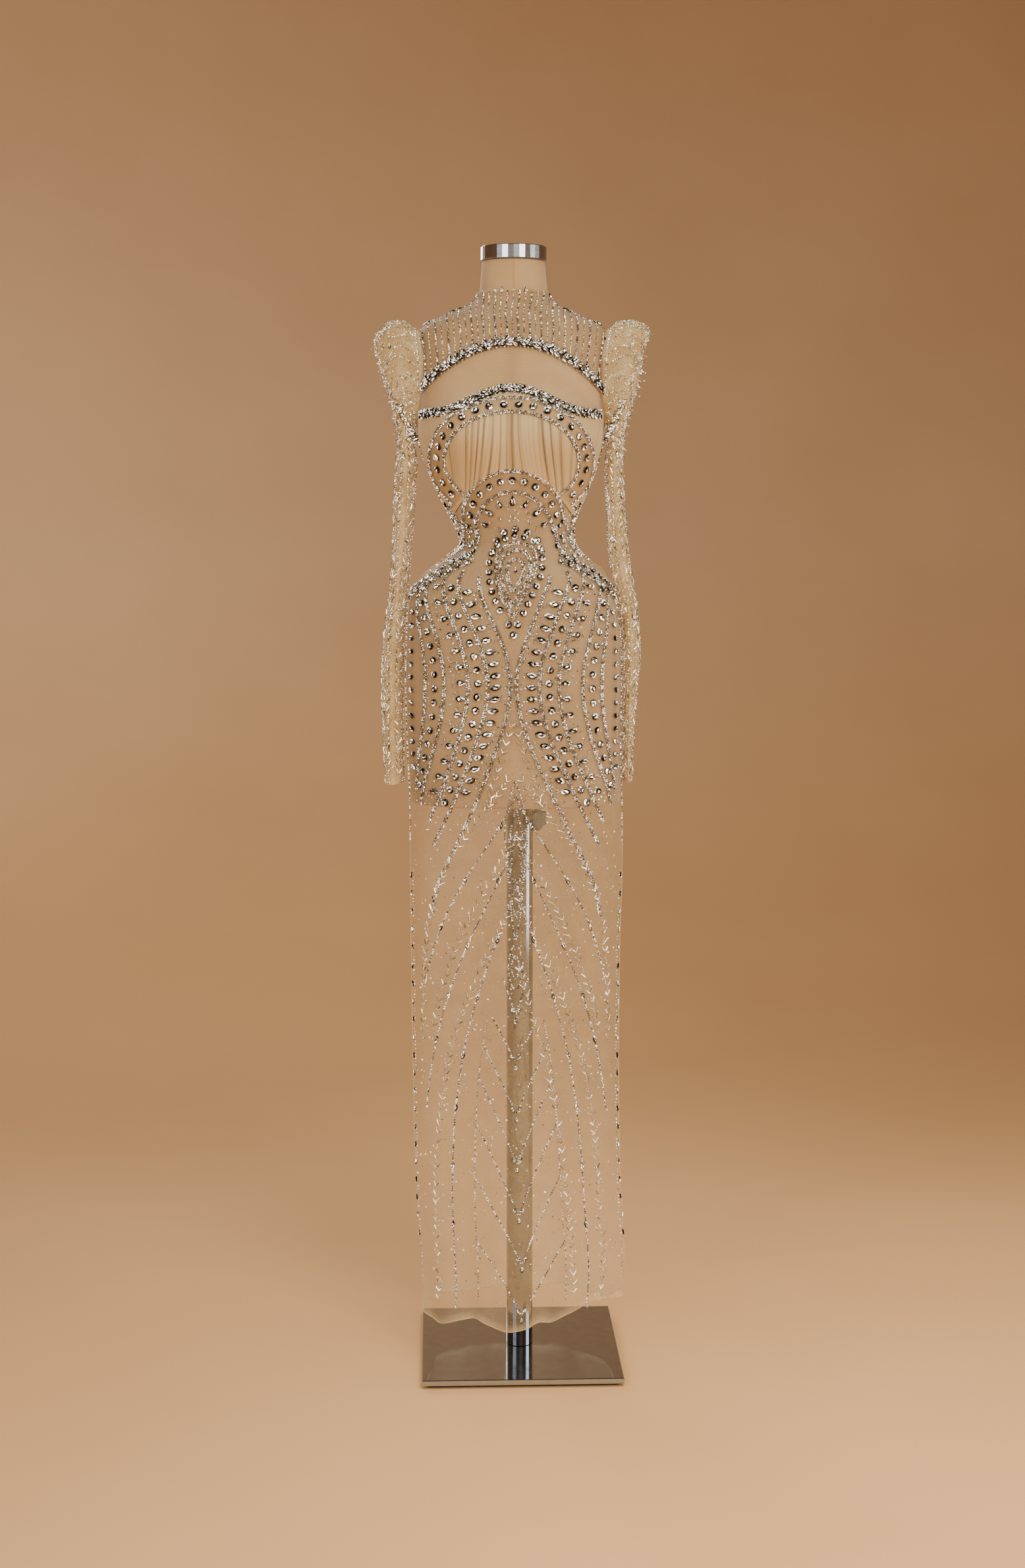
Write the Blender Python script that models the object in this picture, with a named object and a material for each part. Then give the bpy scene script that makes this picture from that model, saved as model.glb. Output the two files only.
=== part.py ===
"""Column evening gown of sheer tulle with crystal bands, worn by a limbless dress form on a pole stand.

Metres, +Z up. The origin is the middle of the base pad's underside, and the gown's front faces -Y.
Left and right are as seen from the front, so right is +X.
"""
import math

import bpy
import bmesh
from mathutils import Matrix, Vector

MM = 0.001
SEAM = 0.3 * MM

# Stand
PLATE_SIDE = 300 * MM
PLATE_THICK = 9 * MM
PLATE_EDGE = 1.0 * MM
PAD_THICK = 4.5 * MM
PAD_INSET = 9 * MM
BASE_TURN = math.radians(2.07)
POLE_RADIUS = 20 * MM
POLE_BORE = 18.4 * MM
MAST_RADIUS = 17.9 * MM
MAST_FOOT = 360 * MM
MAST_TOP = 1000 * MM
KNOB_HEIGHT = 834 * MM
KNOB_TURN = math.radians(-45)
KNOB_RADIUS = 17.5 * MM
KNOB_LOBES = 6
KNOB_THICK = 13 * MM
BOSS_RADIUS = 8 * MM
BOSS_LENGTH = 9 * MM

# Dress form
FORM_BOTTOM = 858 * MM
NECK_TOP = 1650.5 * MM
CAP_RADIUS = 48 * MM
CAP_HEIGHT = 20 * MM
CAP_CENTRE_X = -9.2 * MM
FORM_COLUMNS = 24

# Gown
FORM_GAP = 2.0 * MM
WALL = 1.2 * MM
NECK_EDGE = 1604 * MM
SHOULDER_LEVEL = 1545 * MM
HIP_TOP = 1190 * MM
FULL_HIP = 1040 * MM
BEAD_RISE = 2.0 * MM
STONE_RISE = 3.4 * MM
BAND_HALF = 2.9 * MM
TRIM_HALF = 6.5 * MM
UPPER_LIFT = 1.8 * MM
LOWER_LIFT = 1.0 * MM
FRAME_LIFT = 1.3 * MM
FRAME_WALL = 2.2 * MM
DROP_LIFT = 1.9 * MM
ZIP_BOTTOM = 1100 * MM
ZIP_HALF = 6.0 * MM

# The figure's sections: height, half width, depth to the front and to the back, middle and squareness.
# The front and back depths are measured from the pole's axis.
SECTIONS = (
    # height, half_width, front, back, middle_x, squareness
    (0.050, 0.1455, 0.1090, 0.1150, 0.0010, 2.20),
    (0.111, 0.1500, 0.1080, 0.1140, 0.0027, 2.20),
    (0.163, 0.1530, 0.1070, 0.1120, 0.0035, 2.20),
    (0.273, 0.1537, 0.1030, 0.1070, -0.0025, 2.20),
    (0.450, 0.1539, 0.1010, 0.1050, -0.0058, 2.20),
    (0.646, 0.1553, 0.1010, 0.1060, -0.0064, 2.20),
    (0.743, 0.1570, 0.1010, 0.1080, -0.0055, 2.20),
    (0.870, 0.1570, 0.1020, 0.1120, -0.0060, 2.20),
    (0.942, 0.1573, 0.1040, 0.1170, -0.0086, 2.20),
    (1.038, 0.1589, 0.1050, 0.1250, -0.0094, 2.20),
    (1.110, 0.1570, 0.1030, 0.1230, -0.0095, 2.20),
    (1.151, 0.1529, 0.1000, 0.1160, -0.0110, 2.20),
    (1.176, 0.1455, 0.0960, 0.1080, -0.0100, 2.20),
    (1.198, 0.1310, 0.0910, 0.0980, -0.0070, 2.20),
    (1.219, 0.1035, 0.0840, 0.0870, -0.0058, 2.20),
    (1.239, 0.0839, 0.0790, 0.0790, -0.0030, 2.20),
    (1.252, 0.0833, 0.0790, 0.0780, -0.0048, 2.20),
    (1.269, 0.0862, 0.0820, 0.0790, -0.0077, 2.20),
    (1.291, 0.0956, 0.0870, 0.0820, -0.0105, 2.20),
    (1.332, 0.1143, 0.1000, 0.0900, -0.0112, 2.30),
    (1.383, 0.1319, 0.1160, 0.0980, -0.0130, 2.40),
    (1.415, 0.1338, 0.1170, 0.1000, -0.0135, 2.50),
    (1.450, 0.1338, 0.1080, 0.1010, -0.0125, 2.60),
    (1.520, 0.1335, 0.0840, 0.0940, -0.0105, 2.60),
    (1.545, 0.1325, 0.0750, 0.0870, -0.0104, 2.60),
    (1.556, 0.1270, 0.0700, 0.0820, -0.0110, 2.50),
    (1.570, 0.0975, 0.0620, 0.0730, -0.0125, 2.30),
    (1.579, 0.0755, 0.0580, 0.0670, -0.0113, 2.20),
    (1.585, 0.0635, 0.0550, 0.0620, -0.0104, 2.10),
    (1.593, 0.0545, 0.0510, 0.0560, -0.0094, 2.00),
    (1.605, 0.0500, 0.0480, 0.0520, -0.0092, 2.00),
    (1.624, 0.0480, 0.0460, 0.0480, -0.0095, 2.00),
    (1.651, 0.0455, 0.0440, 0.0460, -0.0095, 2.00),
)
# The bust is two soft mounds on the front.
BUST_HEIGHT = 1395 * MM
BUST_SPREAD = 68 * MM
BUST_WIDE = 54 * MM
BUST_TALL = 48 * MM
BUST_RISE = 20 * MM

# Heights that the form and the gown share where the figure curves most, so that their facets run side by side.
WAIST_LEVELS = (1.126, 1.145, 1.168, HIP_TOP, 1.204, 1.216, 1.228, 1.242, 1.262, 1.290)
CHEST_LEVELS = (1.315, 1.340, 1.365, 1.390, 1.415, 1.450, 1.485, 1.520)
SHOULDER_LEVELS = (SHOULDER_LEVEL, 1.554, 1.563, 1.571, 1.579, 1.587, NECK_EDGE)
SKIRT_LEVELS = (0.150, 0.230, 0.320, 0.420, 0.520, 0.620, 0.720, 0.800)
HIP_LEVELS = (0.862, 0.884, 0.906, 0.928, 0.950, 0.972, 0.994, 1.016, 1.038, 1.060,
              1.082, 1.104, 1.126, 1.145, 1.168, HIP_TOP)

# Armhole: an oval in the side of the bodice, and the slightly larger sleeve head over it.
ARMHOLE_HEIGHT = 1481 * MM
ARMHOLE_TALL = 65 * MM
ARMHOLE_DEEP = 42 * MM
SLEEVE_LAP = 4 * MM
SLEEVE_LIFT = 0.6 * MM


def between(table, height):
    """The table's row at a height, on a smooth curve through its rows."""
    if height <= table[0][0]:
        return table[0][1:]
    if height >= table[-1][0]:
        return table[-1][1:]
    low = max(index for index, row in enumerate(table) if row[0] <= height)
    start, end = table[low], table[low + 1]
    before = table[low - 1] if low else start
    after = table[low + 2] if low + 2 < len(table) else end
    span = end[0] - start[0]
    part = (height - start[0]) / span
    values = []
    for column in range(1, len(start)):
        leave = (end[column] - before[column]) / (end[0] - before[0]) * span
        arrive = (after[column] - start[column]) / (after[0] - start[0]) * span
        value = start[column] * (1 + 2 * part) * (1 - part) ** 2
        value += end[column] * part ** 2 * (3 - 2 * part)
        value += leave * part * (1 - part) ** 2 - arrive * part ** 2 * (1 - part)
        values.append(value)
    return values


def signed_power(value, power):
    return math.copysign(abs(value) ** power, value)


def bust_rise(across, height):
    """How far the bust stands out in front of the section, across from its middle."""
    rise = 0.0
    for middle in (-BUST_SPREAD, BUST_SPREAD):
        rise += math.exp(-((across - middle) / BUST_WIDE) ** 2 - ((height - BUST_HEIGHT) / BUST_TALL) ** 2)
    return BUST_RISE * rise


def figure_point(angle, height):
    """A point on the form: angle 0 is the centre front, 90 degrees the right side."""
    half, front, back, middle, square = between(SECTIONS, height)
    across = half * signed_power(math.sin(angle), 2 / square)
    ahead = signed_power(math.cos(angle), 2 / square)
    depth = front if ahead > 0 else back
    depth_y = -depth * ahead
    if ahead > 0:
        depth_y -= bust_rise(across, height) * (1 - (across / half) ** 4)
    return Vector((middle + across, depth_y, height))


def skin(angle, height, out=0.0):
    """A point moved out from the form, square to its surface."""
    turn, rise = 0.004, 0.0006
    along = figure_point(angle + turn, height) - figure_point(angle - turn, height)
    up = figure_point(angle, height + rise) - figure_point(angle, height - rise)
    return figure_point(angle, height) + along.cross(up).normalized() * out


def front_angle(share, height):
    """The angle whose point lies at a share of the half width, on the front."""
    square = between(SECTIONS, height)[4]
    share = max(-1.0, min(1.0, share))
    return math.asin(signed_power(share, square / 2))


def half_width(height):
    return between(SECTIONS, height)[0] + FORM_GAP + WALL


def across_angle(across, height):
    """The angle whose point lies at a distance across from the section's middle, on the front."""
    return front_angle(across / half_width(height), height)


def armhole_angle(height, side, larger=0.0):
    """Where the armhole's edge crosses a height, from the centre front (side 1) or centre back (side -1)."""
    tall = ARMHOLE_TALL + larger
    from_middle = abs(height - ARMHOLE_HEIGHT) / tall
    if from_middle >= 1:
        return math.pi / 2
    reach = (ARMHOLE_DEEP + larger) * math.sqrt(1 - from_middle ** 2)
    half, front, back, middle, square = between(SECTIONS, height)
    depth = (front if side > 0 else back) + FORM_GAP
    return math.acos(min(1.0, (reach / depth) ** (square / 2)))


def material(name, colour, roughness, metallic=0.0):
    """One plain finish for a sub-part."""
    finish = bpy.data.materials.get(name) or bpy.data.materials.new(name)
    finish.use_nodes = True
    shader = finish.node_tree.nodes["Principled BSDF"]
    shader.inputs["Base Color"].default_value = (*colour, 1.0)
    shader.inputs["Roughness"].default_value = roughness
    shader.inputs["Metallic"].default_value = metallic
    return finish


TULLE = ("tulle", (0.80, 0.66, 0.46), 0.7)
CHIFFON = ("chiffon", (0.78, 0.62, 0.42), 0.6)
CRYSTAL = ("crystal", (0.86, 0.86, 0.84), 0.12)
JERSEY = ("jersey", (0.62, 0.47, 0.32), 0.9)
CHROME = ("chrome", (0.78, 0.78, 0.78), 0.12, 1.0)
STEEL = ("brushed_steel", (0.62, 0.60, 0.58), 0.3, 1.0)
BLACK = ("black_plastic", (0.02, 0.02, 0.02), 0.5)
RUBBER = ("rubber", (0.015, 0.015, 0.015), 0.8)
COIL = ("zip_tape", (0.72, 0.60, 0.44), 0.7)


def finish_object(bm, name, look, smooth=True):
    """Turn a bmesh into one named object with its own finish."""
    bmesh.ops.triangulate(bm, faces=[face for face in bm.faces if len(face.verts) > 3])
    bmesh.ops.recalc_face_normals(bm, faces=bm.faces)
    mesh = bpy.data.meshes.new(name)
    bm.to_mesh(mesh)
    bm.free()
    if smooth:
        mesh.shade_smooth()
        mesh.set_sharp_from_angle(angle=math.radians(35))
    mesh.materials.append(material(*look))
    piece = bpy.data.objects.new(name, mesh)
    bpy.context.scene.collection.objects.link(piece)
    return piece


def lathe(profile, segments):
    """Turn a closed profile of radius and height about a vertical axis."""
    bm = bmesh.new()
    corners = [bm.verts.new((radius, 0.0, height)) for radius, height in profile]
    edges = [bm.edges.new((corners[i], corners[(i + 1) % len(corners)])) for i in range(len(corners))]
    bmesh.ops.spin(bm, geom=corners + edges, cent=(0, 0, 0), axis=(0, 0, 1), angle=math.tau,
                   steps=segments, use_merge=True)
    bmesh.ops.remove_doubles(bm, verts=bm.verts, dist=0.01 * MM)
    return bm


def close_rim(bm, fine, coarse):
    """Join an outer border of many points to the inner points that stand at some of their places."""
    stops = sorted(coarse)
    for first, last in zip(stops, stops[1:]):
        for place in range(first, last):
            bm.faces.new((fine[place], fine[place + 1], coarse[first]))
        bm.faces.new((fine[last], coarse[last], coarse[first]))


def add_stone(bm, corners, stone):
    """Set one faceted stone in the middle of a wall's cell: half width, half height and rise."""
    half_across, half_up, rise = stone
    a, b, c, d = (corner.co for corner in corners)
    middle = (a + b + c + d) / 4
    across = ((b - a) + (c - d)) / 2
    up = ((d - a) + (c - b)) / 2
    half_across = min(half_across, 0.43 * across.length)
    half_up = min(half_up, 0.46 * up.length)
    out = across.cross(up).normalized()
    across, up = across.normalized() * half_across, up.normalized() * half_up
    foot = [bm.verts.new(middle + step) for step in (-up, across, up, -across)]
    crown = bm.verts.new(middle + out * rise)
    for place in range(4):
        after = (place + 1) % 4
        bm.faces.new((corners[place], corners[after], foot[place]))
        bm.faces.new((corners[after], foot[after], foot[place]))
        bm.faces.new((foot[place], foot[after], crown))


def every(count, step):
    """Places from the first to the last, some apart."""
    return sorted(set(range(0, count, step)) | {count - 1})


def wall(outer, inside, inner_rows, inner_columns, stones=None, around=False):
    """A closed wall of cloth: a grid of outer points over a plainer grid of inner ones."""
    stones = stones or {}
    bm = bmesh.new()
    face_out = [[bm.verts.new(point) for point in row] for row in outer]
    face_in = {(i, j): bm.verts.new(inside(i, j)) for i in inner_rows for j in inner_columns}
    if around:
        for row in face_out:
            row.append(row[0])
        last = len(outer[0])
        for i in inner_rows:
            face_in[(i, last)] = face_in[(i, 0)]
        inner_columns = list(inner_columns) + [last]
    for i in range(len(face_out) - 1):
        for j in range(len(face_out[0]) - 1):
            corners = (face_out[i][j], face_out[i][j + 1], face_out[i + 1][j + 1], face_out[i + 1][j])
            if (i, j) in stones:
                add_stone(bm, corners, stones[i, j])
            else:
                bm.faces.new(corners)
    for low, high in zip(inner_rows, inner_rows[1:]):
        for left, right in zip(inner_columns, inner_columns[1:]):
            bm.faces.new((face_in[low, right], face_in[low, left], face_in[high, left], face_in[high, right]))
    for i in (0, len(face_out) - 1):
        close_rim(bm, face_out[i], {j: face_in[i, j] for j in inner_columns})
    if not around:
        for j in (0, len(face_out[0]) - 1):
            close_rim(bm, [row[j] for row in face_out], {i: face_in[i, j] for i in inner_rows})
    return bm


# Stand

def base_block(name, side, low, high, look, bevel):
    bm = bmesh.new()
    bmesh.ops.create_cube(bm, size=1.0)
    bmesh.ops.scale(bm, vec=(side, side, high - low), verts=bm.verts)
    bmesh.ops.translate(bm, vec=(0, 0, (low + high) / 2), verts=bm.verts)
    if bevel:
        bmesh.ops.bevel(bm, geom=bm.edges[:], offset=bevel, offset_type='OFFSET', segments=1,
                        profile=0.5, affect='EDGES', clamp_overlap=True, material=-1)
    bmesh.ops.rotate(bm, cent=(0, 0, 0), verts=bm.verts, matrix=Matrix.Rotation(BASE_TURN, 3, 'Z'))
    finish_object(bm, name, look, smooth=False)


def make_stand():
    base_block("base_pad", PLATE_SIDE - 2 * PAD_INSET, 0.0, PAD_THICK, RUBBER, 0.0)
    plate_top = PAD_THICK + SEAM + PLATE_THICK
    base_block("base_plate", PLATE_SIDE, PAD_THICK + SEAM, plate_top, CHROME, PLATE_EDGE)
    foot, top = plate_top + SEAM, FORM_BOTTOM - 2 * SEAM
    edge = 0.5 * MM
    tube = ((POLE_RADIUS - edge, foot), (POLE_RADIUS, foot + edge), (POLE_RADIUS, top - edge),
            (POLE_RADIUS - edge, top), (POLE_BORE, top), (POLE_BORE, foot))
    finish_object(lathe(tube, 24), "pole", CHROME)
    rod = bmesh.new()
    bmesh.ops.create_cone(rod, cap_ends=True, segments=32, radius1=MAST_RADIUS, radius2=MAST_RADIUS,
                          depth=MAST_TOP - MAST_FOOT)
    bmesh.ops.translate(rod, vec=(0, 0, (MAST_TOP + MAST_FOOT) / 2), verts=rod.verts)
    finish_object(rod, "mast", STEEL)


def place_on_clamp(bm, reach):
    """Turn a piece made along +Z to lie on the clamp's axis, its foot at a distance from the pole's axis."""
    lay_down = Matrix.Rotation(math.pi / 2, 4, 'Y')
    turn = Matrix.Rotation(KNOB_TURN, 4, 'Z')
    place = Matrix.Translation((0, 0, KNOB_HEIGHT)) @ turn @ Matrix.Translation((reach, 0, 0)) @ lay_down
    bmesh.ops.transform(bm, matrix=place, verts=bm.verts)


def make_clamp():
    """The threaded boss on the pole, and the star knob that tightens on the mast."""
    boss = bmesh.new()
    bmesh.ops.create_cone(boss, cap_ends=True, segments=16, radius1=BOSS_RADIUS, radius2=BOSS_RADIUS,
                          depth=BOSS_LENGTH)
    reach = POLE_RADIUS + SEAM
    bmesh.ops.translate(boss, vec=(0, 0, BOSS_LENGTH / 2), verts=boss.verts)
    place_on_clamp(boss, reach)
    finish_object(boss, "clamp_boss", STEEL)

    knob = bmesh.new()
    steps = KNOB_LOBES * 5
    outline = []
    for step in range(steps):
        angle = math.tau * step / steps
        radius = KNOB_RADIUS * (0.89 + 0.11 * math.cos(KNOB_LOBES * angle))
        outline.append((radius * math.cos(angle), radius * math.sin(angle)))
    levels = ((0.5, 0.0), (0.5, 0.25), (1.0, 0.35), (1.0, 0.85), (0.9, 1.0))
    rings = [[knob.verts.new((x * size, y * size, KNOB_THICK * rise)) for x, y in outline]
             for size, rise in levels]
    for low, high in zip(rings, rings[1:]):
        for place in range(steps):
            after = (place + 1) % steps
            knob.faces.new((low[place], low[after], high[after], high[place]))
    knob.faces.new(list(reversed(rings[0])))
    knob.faces.new(rings[-1])
    place_on_clamp(knob, reach + BOSS_LENGTH + SEAM)
    finish_object(knob, "star_knob", BLACK)


# Dress form

def make_form():
    """The padded torso, closed below by a flat board with the mast's socket in it."""
    levels = (FORM_BOTTOM, 0.906, 0.950, 0.994, 1.038, 1.082) + WAIST_LEVELS + CHEST_LEVELS
    levels += SHOULDER_LEVELS + (1.624, NECK_TOP)
    bm = bmesh.new()
    turns = [math.tau * place / FORM_COLUMNS for place in range(FORM_COLUMNS)]
    rings = [[bm.verts.new(figure_point(turn, level)) for turn in turns] for level in levels]
    socket = POLE_BORE + 0.1 * MM
    for depth in (FORM_BOTTOM, MAST_TOP + SEAM):
        rings.insert(0, [bm.verts.new((socket * math.sin(turn), -socket * math.cos(turn), depth))
                         for turn in turns])
    for low, high in zip(rings, rings[1:]):
        for place in range(FORM_COLUMNS):
            after = (place + 1) % FORM_COLUMNS
            bm.faces.new((low[place], low[after], high[after], high[place]))
    bm.faces.new(rings[0])
    bm.faces.new(rings[-1])
    finish_object(bm, "form_torso", JERSEY)

    low, high, edge = NECK_TOP + SEAM, NECK_TOP + SEAM + CAP_HEIGHT, 1.0 * MM
    drum = bmesh.new()
    bmesh.ops.create_cone(drum, cap_ends=True, segments=36, radius1=CAP_RADIUS, radius2=CAP_RADIUS,
                          depth=high - low)
    rims = [e for e in drum.edges if abs(e.verts[0].co.z - e.verts[1].co.z) < MM]
    bmesh.ops.bevel(drum, geom=rims, offset=edge, offset_type='OFFSET', segments=1, profile=0.5,
                    affect='EDGES', clamp_overlap=True, material=-1)
    bmesh.ops.translate(drum, vec=(CAP_CENTRE_X, 0, (low + high) / 2), verts=drum.verts)
    finish_object(drum, "neck_cap", STEEL)


# Lines of the gown, as heights across from the section's middle

CUT_TOP_HEIGHT = 1527.5 * MM
CUT_TOP_DROP = 82.5 * MM
CUT_REACH = 150 * MM
CUT_LOW_HEIGHT = 1461 * MM
CUT_LOW_DROP = 33.4 * MM
CUT_LOW_REACH = 110 * MM
ARCH_HEIGHT = 1349 * MM
ARCH_FALL = 8.5
FRAME_HEIGHT = 1360.5 * MM
FRAME_OUTER = (118 * MM, 86.5 * MM)
FRAME_INNER = (96 * MM, 66.5 * MM)
FRAME_END = math.radians(134)


def upper_cut(across):
    """The middle of the crystal trim above the cut-out."""
    return CUT_TOP_HEIGHT - CUT_TOP_DROP * (across / CUT_REACH) ** 2


def lower_cut(across):
    """The middle of the crystal trim below the cut-out."""
    part = min(1.0, abs(across) / CUT_LOW_REACH)
    return CUT_LOW_HEIGHT - CUT_LOW_DROP * (1 - math.cos(math.pi * part)) / 2


def arch(across):
    """The underbust arch, where the gathered panel meets the long front panel."""
    return ARCH_HEIGHT - ARCH_FALL * across ** 2


def height_on(line, share):
    """The height at which a line crosses a share of the half width."""
    height = line(0.0)
    for _ in range(12):
        height = 0.5 * height + 0.5 * line(share * half_width(height))
    return height


# Front panel

BAND_MIDDLE = (0.026, 0.232, 0.410, 0.625, 0.800)
BAND_FLARE = (1.00, 1.00, 0.92, 0.80, 0.50)
BAND_EDGE = (0.790, 0.832, 0.874, 0.916, 0.958)
WAIST_BEND = 0.25
FLARE_SLOPE = 3.6


def hourglass(number, height):
    """A hip band's share of the half width: nearest the middle at the full hip, flared above and below."""
    drop = min(height, HIP_TOP) - FULL_HIP
    flare = math.sqrt(WAIST_BEND ** 2 + (FLARE_SLOPE * drop) ** 2) - WAIST_BEND
    free = BAND_MIDDLE[number] + BAND_FLARE[number] * flare
    edge = BAND_EDGE[number]
    room = 0.10
    if free > edge - room:
        free = edge - room * math.exp(-(free - edge + room) / room)
    even = (number + 0.9) / 6.2
    calm = min(1.0, max(0.0, (0.74 - height) / 0.14))
    return free * (1 - calm) + even * calm


def band_rise(number, height):
    """How far a hip band stands out: full between the waist and the hem of the band."""
    foot = (0.76, 0.82, 0.84, 0.86, 0.88)[number]
    full = min(1.0, max(0.0, (height - foot) / 0.02)) * min(1.0, max(0.0, (HIP_TOP + 0.012 - height) / 0.01))
    return BEAD_RISE * full


def front_columns(height):
    """Angle and rise of each column of the front panel at a height, from left to right."""
    half = half_width(height)
    slim = min(BAND_HALF / half, 0.017)
    right = []
    inner = hourglass(0, height) - slim
    right.append((front_angle(inner * 0.5, height), 0.0))
    for number in range(len(BAND_MIDDLE)):
        share = hourglass(number, height)
        rise = band_rise(number, height)
        for step, lift in ((-slim, 0.0), (0.0, rise), (slim, 0.0)):
            right.append((front_angle(share + step, height), lift))
    seam = math.pi / 2 - SEAM / 2 / between(SECTIONS, height)[1]
    last = right[-1][0]
    for part in (0.36, 0.70, 1.0):
        right.append((last + (seam - last) * part, 0.0))
    left = [(-angle, rise) for angle, rise in reversed(right)]
    return left + [(0.0, 0.0)] + right


HEM_FRONT = (
    # share of the half width, height
    (-1.00, 0.078), (-0.80, 0.073), (-0.58, 0.083), (-0.40, 0.088), (-0.28, 0.079), (-0.12, 0.072),
    (0.03, 0.078), (0.14, 0.088), (0.27, 0.086), (0.43, 0.097), (0.60, 0.108), (0.78, 0.108),
    (0.90, 0.103), (1.00, 0.098),
)
HEM_WAVES = ((5, 0.6, 4.0 * MM), (9, 2.1, 3.2 * MM), (14, 0.4, 1.6 * MM))
WAVE_TOP = 0.46
FOLD_SHARE = -0.36


def hem_height(angle):
    """The hem's height at an angle: uneven in front, nearly level behind."""
    share = math.sin(angle)
    if math.cos(angle) >= 0:
        return between(HEM_FRONT, share)[0]
    back = 0.064 + 0.003 * math.sin(3 * angle + 0.5)
    side = HEM_FRONT[0][1] if share < 0 else HEM_FRONT[-1][1]
    near = min(1.0, -math.cos(angle) / 0.5)
    return side + (back - side) * near


def hem_wave(angle, height):
    """Soft flutes that start at the knee and deepen to the hem."""
    low = min(1.0, max(0.0, (WAVE_TOP - height) / (WAVE_TOP - 0.08)))
    wave = sum(depth * math.sin(count * angle + shift) for count, shift, depth in HEM_WAVES)
    if math.cos(angle) > 0:
        wave += 6 * MM * math.exp(-((math.sin(angle) - FOLD_SHARE) / 0.06) ** 2)
    return wave * low ** 1.6


def skirt_skin(angle, height, out):
    return skin(angle, height, out + hem_wave(angle, height))


LEAF = (3.4 * MM, 8.0 * MM, STONE_RISE)
ROUND = (6.4 * MM, 6.4 * MM, STONE_RISE)
DROP = (5.0 * MM, 8.5 * MM, STONE_RISE)
# Stones between the hip bands: the gap after each band, the stone, its first and last height.
GAP_STONES = (
    # gap, stone, lowest, highest
    (0, LEAF, 0.880, 1.170),
    (1, ROUND, 0.860, 1.178),
    (2, LEAF, 0.880, 1.178),
    (3, ROUND, 0.900, 1.178),
)
TOP_PARTS = (0.0, 0.15, 0.30, 0.45, 0.61, 0.775, 0.80, 0.825, 0.955, 0.978, 1.0)
ARCH_RIDGES = (6, 9)
ARCH_STONES = 7
HANGING_DROPS = 4


def make_front_panel():
    """The long front panel, from the underbust arch to the hem, with the hip bands and large stones."""
    first = front_columns(0.10)
    count = len(first)
    heights = []
    hem_angles = [angle for angle, _ in first]
    heights.append([hem_height(angle) for angle in hem_angles])
    for level in SKIRT_LEVELS + HIP_LEVELS:
        heights.append([level] * count)
    waist = front_columns(HIP_TOP)
    shares = [signed_power(math.sin(angle), 2 / between(SECTIONS, HIP_TOP)[4]) for angle, _ in waist]
    tops = [height_on(arch, share) - SEAM for share in shares]
    hip_row = len(heights) - 1
    for part in TOP_PARTS[1:]:
        heights.append([HIP_TOP + (top - HIP_TOP) * part for top in tops])
    angles, rises = [], []
    for i, row in enumerate(heights):
        columns = front_columns(row[0]) if i <= hip_row else [front_columns(row[j])[j] for j in range(count)]
        ridge = BEAD_RISE if i - hip_row in ARCH_RIDGES else 0.0
        angles.append([angle for angle, _ in columns])
        rises.append([max(rise, ridge) for _, rise in columns])

    def outside(i, j):
        out = FORM_GAP + WALL + rises[i][j]
        return skirt_skin(angles[i][j], heights[i][j], out)

    def inside(i, j):
        return skirt_skin(angles[i][j], heights[i][j], FORM_GAP)

    outer = [[outside(i, j) for j in range(count)] for i in range(len(heights))]
    middle = count // 2
    gap_cells = {gap: middle + 4 + 3 * gap for gap in range(5)}
    stones = {}
    for gap, stone, low, high in GAP_STONES:
        for i in range(1, hip_row):
            level = (heights[i][0] + heights[i + 1][0]) / 2
            if low < level < high:
                for column in (gap_cells[gap], count - 2 - gap_cells[gap]):
                    stones[i, column] = stone
    side_cell = gap_cells[4]
    for i in range(1, hip_row):
        if 0.90 < heights[i][0] < 1.16:
            for column in (side_cell, count - 2 - side_cell):
                stones[i, column] = ROUND
    open_cells = [middle, middle + 1] + [gap_cells[gap] for gap in range(4)]
    for cell in open_cells:
        for column in (cell, count - 2 - cell):
            stones[hip_row + ARCH_STONES, column] = ROUND
            if cell in open_cells[:4]:
                stones[hip_row + HANGING_DROPS, column] = DROP
    for gap in (1, 2, 3):
        for column in (gap_cells[gap], count - 2 - gap_cells[gap]):
            stones[hip_row + 1, column] = ROUND
            stones[hip_row + 3, column] = ROUND
    first_hip_row = 1 + len(SKIRT_LEVELS)
    inner_rows = sorted(set(range(first_hip_row)) | set(range(first_hip_row, hip_row - 3, 2))
                        | set(range(hip_row - 3, len(heights))))
    kept = (0, 1, 3, 6, 9, 12, 15, 17, 18, 19)
    inner_columns = sorted({middle + column for column in kept} | {middle - column for column in kept})
    finish_object(wall(outer, inside, inner_rows, inner_columns, stones), "front_panel", TULLE)


DROP_TIP = 1134.5 * MM
DROP_TOP = 1243.5 * MM
DROP_HALF = 31 * MM


def teardrop(turn, size, away=0.0):
    """A point on the nested teardrops, across and up: turn 0 is the tip, half a turn the round end."""
    middle, half = (DROP_TIP + DROP_TOP) / 2, (DROP_TOP - DROP_TIP) / 2
    heart = middle + 0.2 * half

    def outline(at):
        across = DROP_HALF / 0.79 * math.sin(at) * abs(math.sin(at / 2)) ** 1.3
        return Vector((across, middle - math.cos(at) * half - heart))

    point = outline(turn)
    along = outline(turn + 0.01) - outline(turn - 0.01)
    out = Vector((along.y, -along.x)).normalized()
    point = point * size + out * away
    return point.x, point.y + heart


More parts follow.
